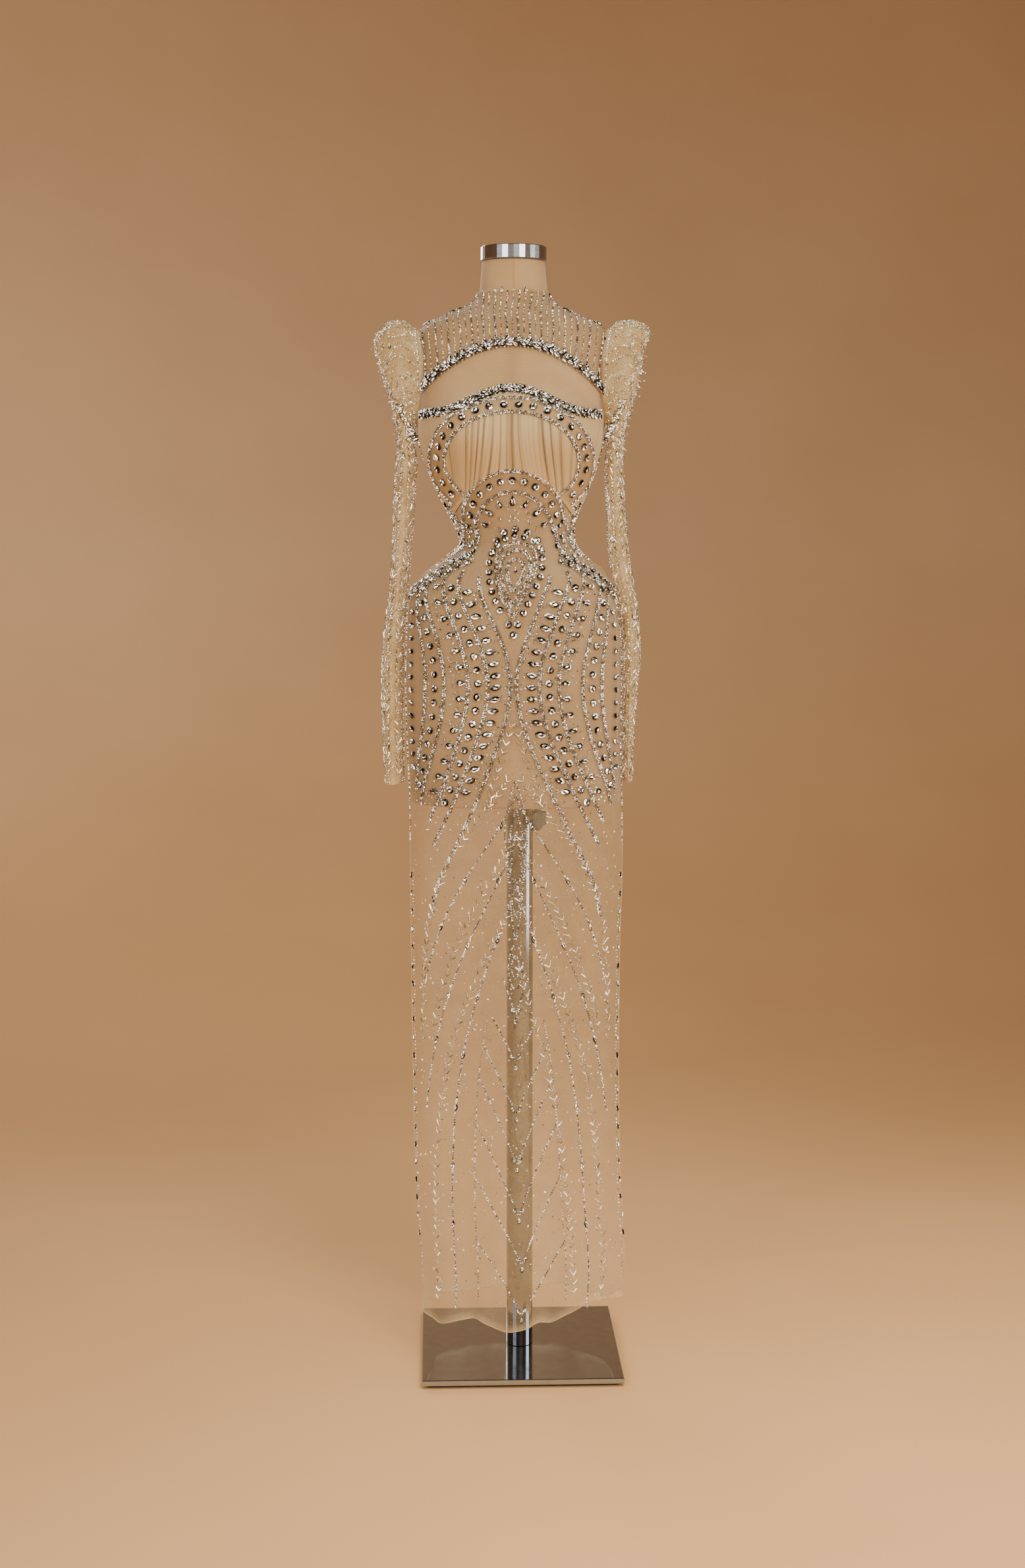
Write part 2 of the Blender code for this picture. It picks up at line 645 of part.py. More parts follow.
def make_medallion():
    """The nested teardrops on the waist, with a ring of stones round their upper part."""
    steps = 20
    rings = ((0.20, 0.0), (0.34, 0.0), (0.43, BEAD_RISE), (0.52, 0.0), (0.66, 0.0), (0.74, BEAD_RISE),
             (0.82, 0.0), (0.92, 0.0), (1.0, BEAD_RISE), (1.08, 0.0))
    base = FORM_GAP + WALL + DROP_LIFT

    def place(turn, size, away, out):
        across, height = teardrop(turn, size, away)
        return skin(across_angle(across, height), height, base + out)

    def far(turn):
        return 14 * MM * math.sin(turn / 2) ** 2 + 3.5 * MM

    bm = bmesh.new()
    turns = [math.tau * step / steps for step in range(steps)]
    loops = [[bm.verts.new(place(turn, size, 0.0, WALL + rise)) for turn in turns] for size, rise in rings]
    loops.append([bm.verts.new(place(turn, 1.08, far(turn), WALL)) for turn in turns])
    crown = bm.verts.new(place(math.pi, 0.0, 0.0, WALL + STONE_RISE))
    under = [[bm.verts.new(place(turn, 1.08, far(turn), 0.0)) for turn in turns]]
    under += [[bm.verts.new(place(turn, size, 0.0, 0.0)) for turn in turns] for size in (1.08, 0.74, 0.34)]
    heart = bm.verts.new(place(math.pi, 0.0, 0.0, 0.0))
    for level, (small, large) in enumerate(zip(loops, loops[1:])):
        for step in range(steps):
            after = (step + 1) % steps
            corners = (small[after], small[step], large[step], large[after])
            if level == len(loops) - 2 and 2 < step < steps - 3:
                add_stone(bm, corners, ROUND)
            else:
                bm.faces.new(corners)
    for step in range(steps):
        after = (step + 1) % steps
        bm.faces.new((loops[0][after], loops[0][step], crown))
        bm.faces.new((loops[-1][step], loops[-1][after], under[0][after], under[0][step]))
        for large, small in zip(under, under[1:]):
            bm.faces.new((large[step], large[after], small[after], small[step]))
        bm.faces.new((under[-1][step], under[-1][after], heart))
    finish_object(bm, "teardrop_medallion", CRYSTAL)


# Bust

def frame_lane(across, height):
    """Where a point lies across the bust frame: 0 on its inner oval and 1 on its outer one."""
    rise = height - FRAME_HEIGHT
    inner = math.hypot(across / FRAME_INNER[0], rise / FRAME_INNER[1])
    outer = math.hypot(across / FRAME_OUTER[0], rise / FRAME_OUTER[1])
    return (inner - 1) / max(inner - outer, 0.001)


def bust_shares():
    """Shares of the half width for the gathers: the front panel's own columns, and places between them."""
    stops = [0.0] + [hourglass(0, HIP_TOP) * 0.48] + [hourglass(number, HIP_TOP) for number in range(5)]
    shares = [0.0]
    for start, end in zip(stops, stops[1:]):
        parts = max(1, round((end - start) / 0.062))
        shares += [start + (end - start) * (part + 1) / parts for part in range(parts)]
    turn = front_angle(shares[-1], HIP_TOP)
    shares += [math.sin(turn + (math.pi / 2 - turn) * part) for part in (0.36, 0.70, 0.9999)]
    return [-share for share in reversed(shares[1:])] + shares


def make_bust_panel():
    """The gathered chiffon panel, from the lower cut to the underbust arch, between the side seams."""
    shares = bust_shares()
    columns = len(shares)
    parts = (0.0, 0.14, 0.31, 0.49, 0.66, 0.83, 1.0)
    grid = []
    for part in parts:
        row = []
        for share in shares:
            low = height_on(arch, share) + 3 * SEAM
            high = height_on(lower_cut, share) + 5 * MM
            height = low + (high - low) * part
            seam = SEAM / 2 / between(SECTIONS, height)[1]
            limit = (armhole_angle(height, 1) - seam) / (math.pi / 2)
            row.append((front_angle(share, height) * limit, height))
        grid.append(row)

    def gather(i, j):
        angle, height = grid[i][j]
        lane = frame_lane(figure_point(angle, height).x - between(SECTIONS, height)[3], height)
        if i in (0, len(parts) - 1) or -0.5 < lane < 1.5 or abs(shares[j]) > 0.9:
            return 0.0
        return (1.5 * MM if j % 2 else 0.0) * (0.7 + 0.3 * math.sin(1.7 * j))

    outer = [[skin(*grid[i][j], FORM_GAP + WALL + gather(i, j)) for j in range(columns)]
             for i in range(len(parts))]
    bm = wall(outer, lambda i, j: skin(*grid[i][j], FORM_GAP), list(range(len(parts))), list(range(columns)))
    finish_object(bm, "bust_panel", CHIFFON)


def make_bust_frame():
    """The horseshoe of two crystal bands round the bust, with round stones between them."""
    steps = 40
    base = FORM_GAP + WALL + FRAME_LIFT
    lanes = ((0.0, 0.0), (0.11, BEAD_RISE), (0.22, 0.0), (0.78, 0.0), (0.89, BEAD_RISE), (1.0, 0.0))

    def place(step, lane):
        turn = FRAME_END * (2 * step / steps - 1)
        wide = FRAME_INNER[0] + (FRAME_OUTER[0] - FRAME_INNER[0]) * lane
        tall = FRAME_INNER[1] + (FRAME_OUTER[1] - FRAME_INNER[1]) * lane
        across = wide * math.sin(turn)
        height = FRAME_HEIGHT + tall * math.cos(turn)
        height = min(height, lower_cut(across) - 1.25 * TRIM_HALF - 3.2 * MM * (1 - lane) - 2.0 * MM)
        return across_angle(across, height), height

    lane_edges = [1.12 - 1.24 * lane for lane, _ in lanes]
    outer = [[skin(*place(step, lane), base + FRAME_WALL + rise) for lane, (_, rise) in zip(lane_edges, lanes)]
             for step in range(steps + 1)]
    stones = {(step, 2): ROUND for step in range(1, steps, 2)}
    bm = wall(outer, lambda i, j: skin(*place(i, lane_edges[j]), base), list(range(steps + 1)),
              [0, 2, 3, len(lanes) - 1], stones)
    finish_object(bm, "bust_frame", CRYSTAL)


# Yoke and cut-out trims

def yoke_limit(height):
    """The yoke's edge: the armhole's, and above it the shoulder seam."""
    return armhole_angle(height, 1) - SEAM / 2 / 0.08


def make_yoke():
    """The sheer upper front, from the cut-out to the neck edge and the shoulder seams."""
    columns = 21
    rows = []
    for part in (0.0, 0.25, 0.5, 0.75):
        row = []
        for column in range(columns):
            turn = 2 * column / (columns - 1) - 1
            height = 1.48
            for _ in range(14):
                angle = turn * yoke_limit(height)
                across = figure_point(angle, height).x - between(SECTIONS, height)[3]
                slope = 2 * CUT_TOP_DROP * across / CUT_REACH ** 2
                target = upper_cut(across) - 5 * MM * math.sqrt(1 + slope ** 2)
                height = 0.5 * height + 0.5 * target
            level = height + (SHOULDER_LEVEL - height) * part
            row.append((turn * yoke_limit(level), level))
        rows.append(row)
    for level in SHOULDER_LEVELS:
        rows.append([((2 * column / (columns - 1) - 1) * yoke_limit(level), level) for column in range(columns)])
    outer = [[skin(angle, level, FORM_GAP + WALL) for angle, level in row] for row in rows]
    bm = wall(outer, lambda i, j: skin(*rows[i][j], FORM_GAP), list(range(len(rows))), every(columns, 2))
    finish_object(bm, "front_yoke", TULLE)


def trim(name, line, limit, over):
    """A lumpy crystal trim that follows a line, laid on the cloth's edge."""
    steps = 32
    base = FORM_GAP + WALL + over
    reach = []
    for step in range(steps + 1):
        across = limit * (2 * step / steps - 1)
        reach.append((across, line(across)))
    lanes = ((-1.0, 0.0), (-0.55, 0.8), (0.0, 1.0), (0.55, 0.8), (1.0, 0.0))

    def place(step, lane, out):
        across, height = reach[step]
        before, after = reach[max(0, step - 1)], reach[min(steps, step + 1)]
        along = Vector((after[0] - before[0], 0, after[1] - before[1])).normalized()
        across -= along.z * lane * TRIM_HALF
        height += along.x * lane * TRIM_HALF
        return skin(across_angle(across, height), height, base + out)

    def lump(step, lane, share):
        wave = math.sin(step * 2.4) if lane < 0 else math.cos(step * 2.4)
        return WALL + 3.2 * MM * share * (0.72 + 0.28 * wave)

    outer = [[place(step, lane, lump(step, lane, share)) for lane, share in lanes] for step in range(steps + 1)]
    bm = wall(outer, lambda i, j: place(i, lanes[j][0], 0.0), every(steps + 1, 2), [0, 2, 4])
    finish_object(bm, name, CRYSTAL)


# Back

def make_back(name, side):
    """One back panel from the neck edge to the hem: side is -1 for left and 1 for right."""
    levels = SKIRT_LEVELS + (0.862, 0.906, 0.950, 0.994, 1.038, 1.082, ZIP_BOTTOM) + WAIST_LEVELS
    levels += CHEST_LEVELS + SHOULDER_LEVELS
    columns = 7
    grid = []
    for level in (None,) + levels:
        row = []
        for column in range(columns):
            part = column / (columns - 1)
            height = level or 0.066
            half, front, back, middle, square = between(SECTIONS, height)
            zipped = 1.0 if height >= ZIP_BOTTOM else 0.0
            start = front_angle((SEAM / 2 + (ZIP_HALF + SEAM / 2) * zipped) / half, height)
            end = armhole_angle(height, -1) - SEAM / 2 / back
            angle = side * (math.pi - start - (end - start) * part)
            row.append((angle, level or hem_height(angle)))
        grid.append(row)

    def place(i, j, out):
        return skirt_skin(*grid[i][j], out)

    outer = [[place(i, j, FORM_GAP + WALL) for j in range(columns)] for i in range(len(grid))]
    bm = wall(outer, lambda i, j: place(i, j, FORM_GAP), list(range(len(grid))), list(range(columns)))
    finish_object(bm, name, TULLE)


def back_point(across, height, out):
    """A point beside the centre back line."""
    half = between(SECTIONS, height)[0]
    return skin(math.pi - front_angle(across / half, height), height, out)


def make_zip():
    """Tape and coil in the centre back."""
    levels = (ZIP_BOTTOM + MM,) + WAIST_LEVELS + CHEST_LEVELS + SHOULDER_LEVELS[:-1] + (NECK_EDGE - MM,)
    lanes = ((-1.0, 0.0), (-0.32, 0.0), (0.0, 1.6 * MM), (0.32, 0.0), (1.0, 0.0))
    outer = [[back_point(ZIP_HALF * lane, level, FORM_GAP + WALL + rise) for lane, rise in lanes]
             for level in levels]
    bm = wall(outer, lambda i, j: back_point(ZIP_HALF * lanes[j][0], levels[i], FORM_GAP),
              list(range(len(levels))), list(range(len(lanes))))
    finish_object(bm, "zip_tape", COIL)


SLIDER_HEIGHT = 1593 * MM
SLIDER_LIFT = FORM_GAP + WALL + 1.6 * MM + 1.8 * MM
HINGE_OUT = 3.5 * MM


def back_frame(height, out):
    """A frame on the centre back line: across, up the cloth, and square off it."""
    here = back_point(0.0, height, out)
    rise = back_point(0.0, height + MM, out) - here
    rise.x = 0.0
    rise.normalize()
    across = Vector((-1, 0, 0))
    turn = Matrix((across, rise, across.cross(rise))).transposed().to_4x4()
    return Matrix.Translation(here) @ turn


def blocks(stops, filled):
    """The closed skin round the filled cells of a small grid with the given stops each way, in mm."""
    bm = bmesh.new()
    corners = {}

    def corner(spot):
        if spot not in corners:
            corners[spot] = bm.verts.new([stops[way][spot[way]] * MM for way in range(3)])
        return corners[spot]

    for cell in filled:
        for way in range(3):
            one, two = (way + 1) % 3, (way + 2) % 3
            for far in (0, 1):
                beside = list(cell)
                beside[way] += 2 * far - 1
                if tuple(beside) in filled:
                    continue
                ring = []
                for step_one, step_two in ((0, 0), (1, 0), (1, 1), (0, 1)):
                    spot = list(cell)
                    spot[way] += far
                    spot[one] += step_one
                    spot[two] += step_two
                    ring.append(corner(tuple(spot)))
                bm.faces.new(ring if far else list(reversed(ring)))
    return bm


def make_slider():
    """The slider with its bridge on the coil, and the pull tab whose bar passes under the bridge."""
    frame = back_frame(SLIDER_HEIGHT, SLIDER_LIFT)
    stops = ((-3.5, -0.8, 0.8, 3.5), (-4.5, -3.2, -2.2, 2.2, 3.2, 4.5), (0.0, 2.4, 4.6, 5.6))
    body = {(i, j, 0) for i in range(3) for j in range(5)}
    bridge = {(1, 1, 1), (1, 3, 1), (1, 1, 2), (1, 2, 2), (1, 3, 2)}
    slider = blocks(stops, body | bridge)
    bmesh.ops.transform(slider, matrix=frame, verts=slider.verts)
    finish_object(slider, "zip_slider", STEEL, smooth=False)

    stops = ((-2.6, -1.6, 1.6, 2.6), (-20.0, -4.4, -0.6, 0.6), (-0.5, 0.5))
    tab = blocks(stops, {(i, j, 0) for i in range(3) for j in range(3)} - {(1, 1, 0)})
    bmesh.ops.transform(tab, matrix=frame @ Matrix.Translation((0, 0, HINGE_OUT)), verts=tab.verts)
    finish_object(tab, "pull_tab", STEEL, smooth=False)


# Sleeves

SLEEVE_COLUMNS = 16
# Each ring runs from its inner point, beside the body, to its outer point, on the sleeve's far side.
LEFT_SLEEVE = (
    # inner_x, inner_z, outer_x, outer_z, middle_y, half_depth
    (-0.1535, 1.4130, -0.1700, 1.5635, 0.002, 0.056),
    (-0.1545, 1.4080, -0.1930, 1.5610, 0.002, 0.060),
    (-0.1550, 1.4020, -0.2120, 1.5340, 0.002, 0.058),
    (-0.1550, 1.3950, -0.2065, 1.5040, 0.003, 0.055),
    (-0.1545, 1.3870, -0.1955, 1.4700, 0.004, 0.052),
    (-0.1540, 1.3770, -0.1865, 1.4380, 0.005, 0.050),
    (-0.1525, 1.3600, -0.1800, 1.4020, 0.006, 0.049),
    (-0.1530, 1.3500, -0.1805, 1.3620, 0.007, 0.048),
    (-0.1550, 1.3250, -0.1835, 1.3250, 0.008, 0.047),
    (-0.1577, 1.2820, -0.1856, 1.2820, 0.009, 0.046),
    (-0.1630, 1.2230, -0.1880, 1.2230, 0.010, 0.045),
    (-0.1690, 1.1600, -0.1940, 1.1600, 0.012, 0.044),
    (-0.1727, 1.1180, -0.2000, 1.1180, 0.012, 0.044),
    (-0.1748, 1.0730, -0.2035, 1.0730, 0.012, 0.044),
    (-0.1754, 1.0050, -0.2050, 1.0050, 0.012, 0.043),
    (-0.1750, 0.9380, -0.2022, 0.9380, 0.010, 0.042),
    (-0.1748, 0.8870, -0.2012, 0.8850, 0.010, 0.042),
)
RIGHT_SLEEVE = (
    # inner_x, inner_z, outer_x, outer_z, middle_y, half_depth
    (0.1265, 1.4130, 0.1440, 1.5635, 0.002, 0.056),
    (0.1275, 1.4080, 0.1680, 1.5640, 0.002, 0.060),
    (0.1280, 1.4020, 0.1885, 1.5500, 0.002, 0.058),
    (0.1280, 1.3950, 0.1800, 1.5200, 0.003, 0.055),
    (0.1280, 1.3870, 0.1770, 1.4850, 0.004, 0.052),
    (0.1275, 1.3770, 0.1650, 1.4450, 0.005, 0.050),
    (0.1265, 1.3600, 0.1530, 1.4080, 0.006, 0.049),
    (0.1265, 1.3500, 0.1505, 1.3650, 0.008, 0.048),
    (0.1275, 1.3250, 0.1510, 1.3300, 0.010, 0.047),
    (0.1300, 1.2820, 0.1555, 1.2820, 0.012, 0.046),
    (0.1335, 1.2230, 0.1615, 1.2230, 0.014, 0.045),
    (0.1468, 1.1600, 0.1715, 1.1600, 0.018, 0.044),
    (0.1532, 1.1180, 0.1775, 1.1180, 0.020, 0.044),
    (0.1552, 1.0730, 0.1785, 1.0730, 0.020, 0.044),
    (0.1556, 1.0050, 0.1730, 1.0050, 0.020, 0.043),
    (0.1545, 0.9380, 0.1690, 0.9380, 0.020, 0.042),
    (0.1545, 0.8900, 0.1685, 0.8880, 0.020, 0.042),
)
HEAD_RINGS = 6
PLEATS = 10


def armhole_ring(side, smaller):
    """The sleeve head's seam: a little larger than the armhole, just off the bodice."""
    points = []
    for column in range(SLEEVE_COLUMNS):
        turn = math.tau * column / SLEEVE_COLUMNS
        tall = ARMHOLE_TALL + SLEEVE_LAP - smaller
        deep = ARMHOLE_DEEP + SLEEVE_LAP - smaller
        height = ARMHOLE_HEIGHT - tall * math.cos(turn)
        depth_y = deep * math.sin(turn)
        half, front, back, middle, square = between(SECTIONS, height)
        lift = FORM_GAP + WALL + SLEEVE_LIFT
        depth = (front if depth_y < 0 else back) + lift
        across = (half + lift) * (1 - (abs(depth_y) / depth) ** square) ** (1 / square)
        points.append(Vector((middle + side * across, depth_y, height)))
    return points


def sleeve_ring(row, side, smaller, pleat):
    """One ring of a sleeve, a flattened oval between its inner and outer points."""
    inner_x, inner_z, outer_x, outer_z, middle_y, half_depth = row
    inner, outer = Vector((inner_x, 0, inner_z)), Vector((outer_x, 0, outer_z))
    half = (outer - inner) / 2
    middle = (outer + inner) / 2 + Vector((0, middle_y, 0))
    across = half * (1 - smaller / half.length)
    points = []
    for column in range(SLEEVE_COLUMNS):
        turn = math.tau * column / SLEEVE_COLUMNS
        fold = 1 - pleat * (column % 2)
        reach = -signed_power(math.cos(turn), 0.85)
        depth = signed_power(math.sin(turn), 0.85) * (half_depth - smaller)
        points.append(middle + across * reach * fold + Vector((0, depth * fold, 0)))
    return points


def make_sleeve(name, rows, side):
    """One sleeve, puffed at the shoulder and falling flat beside the body."""
    pleats = [0.03 * min(1.0, (HEAD_RINGS - index) / 4) if 0 < index < HEAD_RINGS else 0.0
              for index in range(len(rows))]
    outer = [armhole_ring(side, 0.0)]
    outer += [sleeve_ring(row, side, 0.0, pleat) for row, pleat in zip(rows, pleats)]
    inner = [armhole_ring(side, WALL)] + [sleeve_ring(row, side, WALL, 0.035) if 0 < index < HEAD_RINGS
                                          else sleeve_ring(row, side, WALL, 0.0)
                                          for index, row in enumerate(rows)]
    bm = wall(outer, lambda i, j: inner[i][j], list(range(len(outer))), list(range(SLEEVE_COLUMNS)), around=True)
    finish_object(bm, name, TULLE)


def main():
    for piece in list(bpy.data.objects):
        bpy.data.objects.remove(piece, do_unlink=True)
    make_stand()
    make_clamp()
    make_form()
    make_front_panel()
    make_medallion()
    make_bust_panel()
    make_bust_frame()
    make_yoke()
    trim("cut_trim_upper", upper_cut, 0.126, UPPER_LIFT)
    trim("cut_trim_lower", lower_cut, 0.124, LOWER_LIFT)
    make_back("back_left", -1)
    make_back("back_right", 1)
    make_zip()
    make_slider()
    make_sleeve("sleeve_left", LEFT_SLEEVE, -1)
    make_sleeve("sleeve_right", RIGHT_SLEEVE, 1)


main()
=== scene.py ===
"""Column evening gown of beaded tulle on a limbless dress form, in a plain studio.

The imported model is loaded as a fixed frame, and this script dresses it: cloth shells on the forms of the
gown's own panels, crystals and beads sewn on them, and a finish for every part of the stand.
Metres, +Z up, the gown's front faces -Y, and right is +X.
"""
import math
import random

import bpy
import bmesh
import numpy as np
from bpy.props import FloatProperty, FloatVectorProperty, IntProperty, PointerProperty
from mathutils import Matrix, Vector


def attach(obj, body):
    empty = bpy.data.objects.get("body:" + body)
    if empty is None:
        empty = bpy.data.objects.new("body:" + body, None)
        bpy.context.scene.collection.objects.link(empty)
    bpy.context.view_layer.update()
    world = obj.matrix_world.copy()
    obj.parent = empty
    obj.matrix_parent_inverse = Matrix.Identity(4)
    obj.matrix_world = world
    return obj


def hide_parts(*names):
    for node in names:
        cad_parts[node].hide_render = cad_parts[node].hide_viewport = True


bl_info = {
    "name": "Column Evening Gown",
    "version": (1, 0, 0),
    "blender": (4, 5, 0),
    "location": "3D View > Sidebar > Gown",
    "description": "Dresses the packed gown with tulle, chiffon, crystals and a plain studio",
    "category": "Add Mesh",
}

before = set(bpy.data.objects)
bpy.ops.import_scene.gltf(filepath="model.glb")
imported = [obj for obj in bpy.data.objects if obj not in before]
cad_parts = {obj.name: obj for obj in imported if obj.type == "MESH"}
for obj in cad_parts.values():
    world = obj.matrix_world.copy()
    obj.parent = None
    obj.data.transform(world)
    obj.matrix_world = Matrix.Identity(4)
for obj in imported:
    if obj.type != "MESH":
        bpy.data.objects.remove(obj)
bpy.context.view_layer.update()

MM = 0.001
UP = (0, 0, 1)

# The form's sections: height, half width, depth to the front and to the back, middle and squareness.
SECTIONS = (
    (0.050, 0.1455, 0.1090, 0.1150, 0.0010, 2.20),
    (0.111, 0.1500, 0.1080, 0.1140, 0.0027, 2.20),
    (0.163, 0.1530, 0.1070, 0.1120, 0.0035, 2.20),
    (0.273, 0.1537, 0.1030, 0.1070, -0.0025, 2.20),
    (0.450, 0.1539, 0.1010, 0.1050, -0.0058, 2.20),
    (0.646, 0.1553, 0.1010, 0.1060, -0.0064, 2.20),
    (0.743, 0.1570, 0.1010, 0.1080, -0.0055, 2.20),
    (0.870, 0.1570, 0.1020, 0.1120, -0.0060, 2.20),
    (0.942, 0.1573, 0.1040, 0.1170, -0.0086, 2.20),
    (1.038, 0.1589, 0.1050, 0.1250, -0.0094, 2.20),
    (1.110, 0.1570, 0.1030, 0.1230, -0.0095, 2.20),
    (1.151, 0.1529, 0.1000, 0.1160, -0.0110, 2.20),
    (1.176, 0.1455, 0.0960, 0.1080, -0.0100, 2.20),
    (1.198, 0.1310, 0.0910, 0.0980, -0.0070, 2.20),
    (1.219, 0.1035, 0.0840, 0.0870, -0.0058, 2.20),
    (1.239, 0.0839, 0.0790, 0.0790, -0.0030, 2.20),
    (1.252, 0.0833, 0.0790, 0.0780, -0.0048, 2.20),
    (1.269, 0.0862, 0.0820, 0.0790, -0.0077, 2.20),
    (1.291, 0.0956, 0.0870, 0.0820, -0.0105, 2.20),
    (1.332, 0.1143, 0.1000, 0.0900, -0.0112, 2.30),
    (1.383, 0.1319, 0.1160, 0.0980, -0.0130, 2.40),
    (1.415, 0.1338, 0.1170, 0.1000, -0.0135, 2.50),
    (1.450, 0.1338, 0.1080, 0.1010, -0.0125, 2.60),
    (1.520, 0.1335, 0.0840, 0.0940, -0.0105, 2.60),
    (1.545, 0.1325, 0.0750, 0.0870, -0.0104, 2.60),
    (1.556, 0.1270, 0.0700, 0.0820, -0.0110, 2.50),
    (1.570, 0.0975, 0.0620, 0.0730, -0.0125, 2.30),
    (1.579, 0.0755, 0.0580, 0.0670, -0.0113, 2.20),
    (1.585, 0.0635, 0.0550, 0.0620, -0.0104, 2.10),
    (1.593, 0.0545, 0.0510, 0.0560, -0.0094, 2.00),
    (1.605, 0.0500, 0.0480, 0.0520, -0.0092, 2.00),
    (1.624, 0.0480, 0.0460, 0.0480, -0.0095, 2.00),
    (1.651, 0.0455, 0.0440, 0.0460, -0.0095, 2.00),
)
BUST_HEIGHT = 1395 * MM
BUST_SPREAD = 68 * MM
BUST_WIDE = 54 * MM
BUST_TALL = 48 * MM
BUST_RISE = 20 * MM
BUST_SPAN = (1.25, 1.55)

# Heights
FORM_BOTTOM = 858 * MM
NECK_TOP = 1650.5 * MM
NECK_EDGE = 1604 * MM
SHOULDER_LEVEL = 1545 * MM
HIP_TOP = 1190 * MM
FULL_HIP = 1040 * MM
ZIP_BOTTOM = 1100 * MM
MAST_TOP = 1000.3 * MM
SOCKET = 18.5 * MM

# How far the cloth and what is sewn on it stand off the form
CLOTH_OUT = 2.8 * MM
FRAME_OUT = 5.2 * MM
SEW_OUT = 3.1 * MM
TRIM_OUT = 4.6 * MM
DROP_OUT = 5.6 * MM

ARMHOLE_HEIGHT = 1481 * MM
ARMHOLE_TALL = 65 * MM
ARMHOLE_DEEP = 42 * MM
# The sleeve's seam lies this far outside the armhole and this far out from the form.
SEAM_ROUND = 4 * MM
SEAM_OUT = 3.8 * MM

# Lines of the gown
CUT_TOP_HEIGHT = 1527.5 * MM
CUT_TOP_DROP = 82.5 * MM
CUT_REACH = 150 * MM
CUT_LOW_HEIGHT = 1461 * MM
CUT_LOW_DROP = 33.4 * MM
CUT_LOW_REACH = 110 * MM
ARCH_HEIGHT = 1349 * MM
ARCH_FALL = 8.5
FRAME_HEIGHT = 1360.5 * MM
FRAME_OUTER = (118 * MM, 86.5 * MM)
FRAME_INNER = (96 * MM, 66.5 * MM)
FRAME_END = math.radians(134)
TRIM_HALF = 6.5 * MM
DROP_TIP = 1134.5 * MM
DROP_TOP = 1243.5 * MM
DROP_HALF = 31 * MM

# The ovals that the waist's stones follow, and the skirt's loop: half width, half height, middle's height
OUTER_ARCH = (73.5 * MM, 66 * MM, 1.281)
INNER_ARCH = (56 * MM, 57 * MM, 1.260)
ARCH_STONES = (64.5 * MM, 62 * MM, 1.2715)
ARCH_DROPS = (45 * MM, 43 * MM, 1.2615)
LOW_STONES = (36 * MM, 37 * MM, 1.2265)
LOOP = (10.5 * MM, 34 * MM, 0.625)
# The outer arch's tails: share of the half width at their top, how far they run out and how soon
TAIL = (0.785, 0.16, 22 * MM)
# The waist's bands end here, where the hips' bands begin.
WAIST_FOOT = 1.222

HIP_BANDS = (
    # share at the full hip, flare, top, widest share, foot
    (0.026, 1.00, 1.196, 0.790, 0.700),
    (0.232, 1.00, 1.202, 0.832, 0.800),
    (0.410, 0.92, 1.200, 0.874, 0.835),
    (0.625, 0.80, 1.194, 0.916, 0.860),
    (0.800, 0.50, 1.168, 0.958, 0.880),
)
EDGE_ROOM = 0.10
WAIST_BEND = 0.25
FLARE_ABOVE = 3.6
FLARE_BELOW = 3.1

HEM_FRONT = (
    # share of the half width, height
    (-1.00, 0.078), (-0.80, 0.073), (-0.58, 0.083), (-0.40, 0.088), (-0.28, 0.079), (-0.12, 0.072),
    (0.03, 0.078), (0.14, 0.088), (0.27, 0.086), (0.43, 0.097), (0.60, 0.108), (0.78, 0.108),
    (0.90, 0.103), (1.00, 0.098),
)
HEM_BACK = 64 * MM
HEM_WAVES = (
    # flutes round the hem, shift, depth
    (5, 0.6, 4.0 * MM), (9, 2.1, 3.2 * MM), (14, 0.4, 1.6 * MM),
)
WAVE_TOP = 460 * MM
WAVE_FULL = 80 * MM
# One deeper fold in front: its share of the half width, its width as a share and its depth
FOLD = (-0.36, 0.06, 6 * MM)

# Bead lines of the skirt: each runs out and down from the centre front.
CHAINS = (
    # (top, reach, length, foot), heights of its leaves
    ((0.885, 0.95, 0.17, 0.586), (0.834, 0.752, 0.680)),
    ((0.830, 0.93, 0.23, 0.400), (0.7535, 0.656, 0.578, 0.510)),
    ((0.760, 0.65, 0.21, 0.100), (0.6655, 0.579, 0.490, 0.410, 0.320, 0.230)),
)
FERNS = (
    # top, reach, length, start, foot, sides
    (0.925, 0.88, 0.13, 0.905, 0.500, (-1, 1)),
    (0.840, 0.88, 0.19, 0.820, 0.520, (-1, 1)),
    (0.750, 0.80, 0.20, 0.730, 0.100, (-1, 1)),
    (0.660, 0.50, 0.20, 0.640, 0.120, (1,)),
    (1.000, 0.35, 0.12, 0.985, 0.860, (-1, 1)),
)
STRINGS = (
    # top, reach, foot
    (0.86, 0.075, 0.70), (0.82, 0.055, 0.665), (0.90, 0.10, 0.74),
)
CHEVRONS = (
    # tip height, arm's top share, arm's top height
    (0.5508, 0.120, 0.610), (0.4814, 0.220, 0.549), (0.4018, 0.295, 0.504), (0.3252, 0.350, 0.458),
    (0.2483, 0.396, 0.393), (0.1750, 0.418, 0.311), (0.0980, 0.425, 0.209),
)

